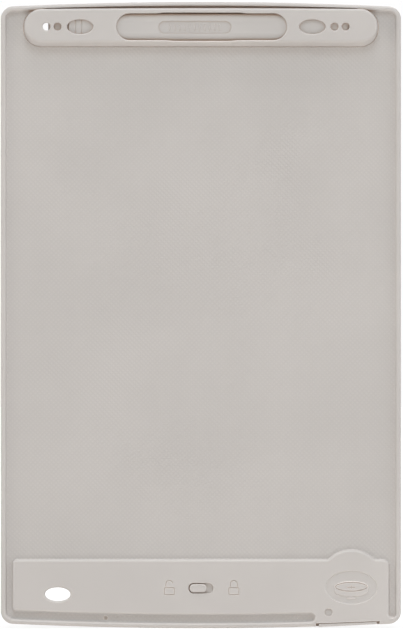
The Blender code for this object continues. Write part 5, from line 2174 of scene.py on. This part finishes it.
@dataclass
class Studio:
    """Pale floor, soft light from above and below, and a camera square to the tablet's back."""

    floor_half: float = 12.0
    camera_distance: float = 5.0
    frame_height: float = 0.22743
    camera_x: float = 0.00022
    camera_z: float = 0.11300
    sensor: float = 36.0
    floor_colour: Colour = (0.81, 0.80, 0.79)
    floor_glow: float = 0.74
    floor_share: float = 0.30
    floor_fade: Pair = (0.6, 2.6)
    world_colour: Colour = (1.0, 1.0, 1.0)
    world_light: float = 0.255
    lamps: tuple[Lamp, ...] = (
        Lamp("upper_front", 30, 0, 5.0, 21.7, 2.5, 1.67, (1.0, 0.82, 0.62)),
        Lamp("upper_soft", 55, 0, 5.0, 82.2, 2.5, 1.67, (0.78, 0.89, 0.98)),
        Lamp("upper_edge", 80, 0, 5.0, 88.9, 2.5, 0.83, (1.0, 0.94, 0.92)),
        Lamp("lower_front", -30, 0, 2.0, 2.67, 1.0, 0.67, (1.0, 0.86, 0.77)),
        Lamp("lower_soft", -55, 0, 2.0, 7.73, 1.0, 0.67, (0.93, 0.93, 0.92)),
        Lamp("lower_edge", -80, 0, 3.0, 9.5, 1.5, 0.5, (1.0, 0.84, 0.72)),
        Lamp("left_soft", 7, -71, 2.7, 16.0, 1.25, 2.0, (1.0, 0.96, 0.91)),
        Lamp("right_soft", 7, 71, 2.7, 15.6, 1.25, 2.0, (0.93, 0.95, 0.98)),
        Lamp("screen_upper", 42, 155, 1.3, 6.0, 0.9, 0.6, (1.0, 0.99, 0.97)),
        Lamp("screen_soft", 8, 205, 1.5, 5.0, 1.0, 1.0, (1.0, 0.99, 0.97)),
    )

    def build(self) -> None:
        """Makes the studio."""
        bpy.context.scene.view_settings.view_transform = "Standard"
        self.world()
        self.floor()
        for lamp in self.lamps:
            lamp.build(Vector((0.0, 0.0, TABLET.height / 2)))
        self.camera()

    @staticmethod
    def seen(graph: Graph) -> Socket:
        """Whether a ray shows the background: straight, mirrored or through glass.

        Args:
            graph: Nodes of the world or of the floor.

        Returns:
            A share that is 1 for such rays and 0 for others.
        """
        path = graph.node("ShaderNodeLightPath").outputs
        mirrored = graph.math("MAXIMUM", path["Is Glossy Ray"], path["Is Transmission Ray"])
        return graph.math("MAXIMUM", path["Is Camera Ray"], mirrored)

    def world(self) -> None:
        """White background for the camera and an even light for the rest."""
        world = bpy.data.worlds.new("studio_world")
        world.use_nodes = True
        bpy.context.scene.world = world
        graph = Graph(world.node_tree)
        background = world.node_tree.nodes["Background"]
        background.inputs["Color"].default_value = linear(self.world_colour)
        inputs = {"Value": self.seen(graph), "To Min": self.world_light, "To Max": 1.0}
        strength = graph.node("ShaderNodeMapRange", inputs)
        graph.feed(background.inputs["Strength"], strength.outputs[0])

    def floor_finish(self) -> Material:
        """Pale floor whose own glow makes it white far away, so that only the shadow shows.

        Returns:
            The material.
        """
        made = bpy.data.materials.new("pale_floor")
        made.use_nodes = True
        nodes = made.node_tree.nodes
        nodes.remove(nodes["Principled BSDF"])
        graph = Graph(made.node_tree)
        lit = graph.node("ShaderNodeBsdfDiffuse", {"Color": linear(self.floor_colour)})
        soft = graph.node("ShaderNodeBsdfDiffuse", {"Color": (self.floor_share,) * 3 + (1.0,)})
        point = graph.node("ShaderNodeNewGeometry").outputs["Position"]
        distance = graph.node("ShaderNodeVectorMath", {0: point}, operation="LENGTH").outputs["Value"]
        strength = graph.ranged(distance, self.floor_fade, self.floor_glow, 1.0)
        glow = graph.node("ShaderNodeEmission", {"Strength": strength})
        both = graph.node("ShaderNodeAddShader", {0: soft.outputs[0], 1: glow.outputs[0]})
        mix = graph.node("ShaderNodeMixShader", {0: self.seen(graph), 1: lit.outputs[0], 2: both.outputs[0]})
        graph.feed(nodes["Material Output"].inputs["Surface"], mix.outputs[0])
        return made

    def floor(self) -> None:
        """Wide pale floor that keeps a soft shadow of the tablet."""
        shape = bmesh.new()
        half = self.floor_half
        corners = [shape.verts.new((x, y, 0.0)) for x, y in plain_box(-half, -half, half, half)]
        shape.faces.new(corners)
        mesh = bpy.data.meshes.new("floor")
        shape.to_mesh(mesh)
        shape.free()
        floor = bpy.data.objects.new("floor", mesh)
        bpy.context.scene.collection.objects.link(floor)
        mesh.materials.append(self.floor_finish())
        floor.visible_shadow = False
        # The open drawer stands on the floor, so the floor goes down with it.
        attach(floor, "drawer")

    def camera(self) -> None:
        """Camera that looks straight at the back, framed as in the photograph."""
        data = bpy.data.cameras.new("camera")
        data.sensor_width = self.sensor
        data.lens = self.sensor * self.camera_distance / self.frame_height
        made = bpy.data.objects.new("camera", data)
        made.location = (self.camera_x, -self.camera_distance, self.camera_z)
        made.rotation_euler = (math.pi / 2, 0.0, 0.0)
        bpy.context.scene.collection.objects.link(made)
        bpy.context.scene.camera = made


def main() -> None:
    """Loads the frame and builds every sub-assembly."""
    logging.basicConfig(level=logging.INFO, format="%(message)s")
    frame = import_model()
    shop = Workshop()
    for coat in Coat:
        coat.value.make(shop)
    for piece in (RearShell(), FRONT, PEN, ERASER, LOCK, DRAWER):
        piece.build()
    InnerParts(frame["nodes"]).dress()
    Studio().build()
    bpy.context.view_layer.update()


if __name__ == "__main__":
    main()
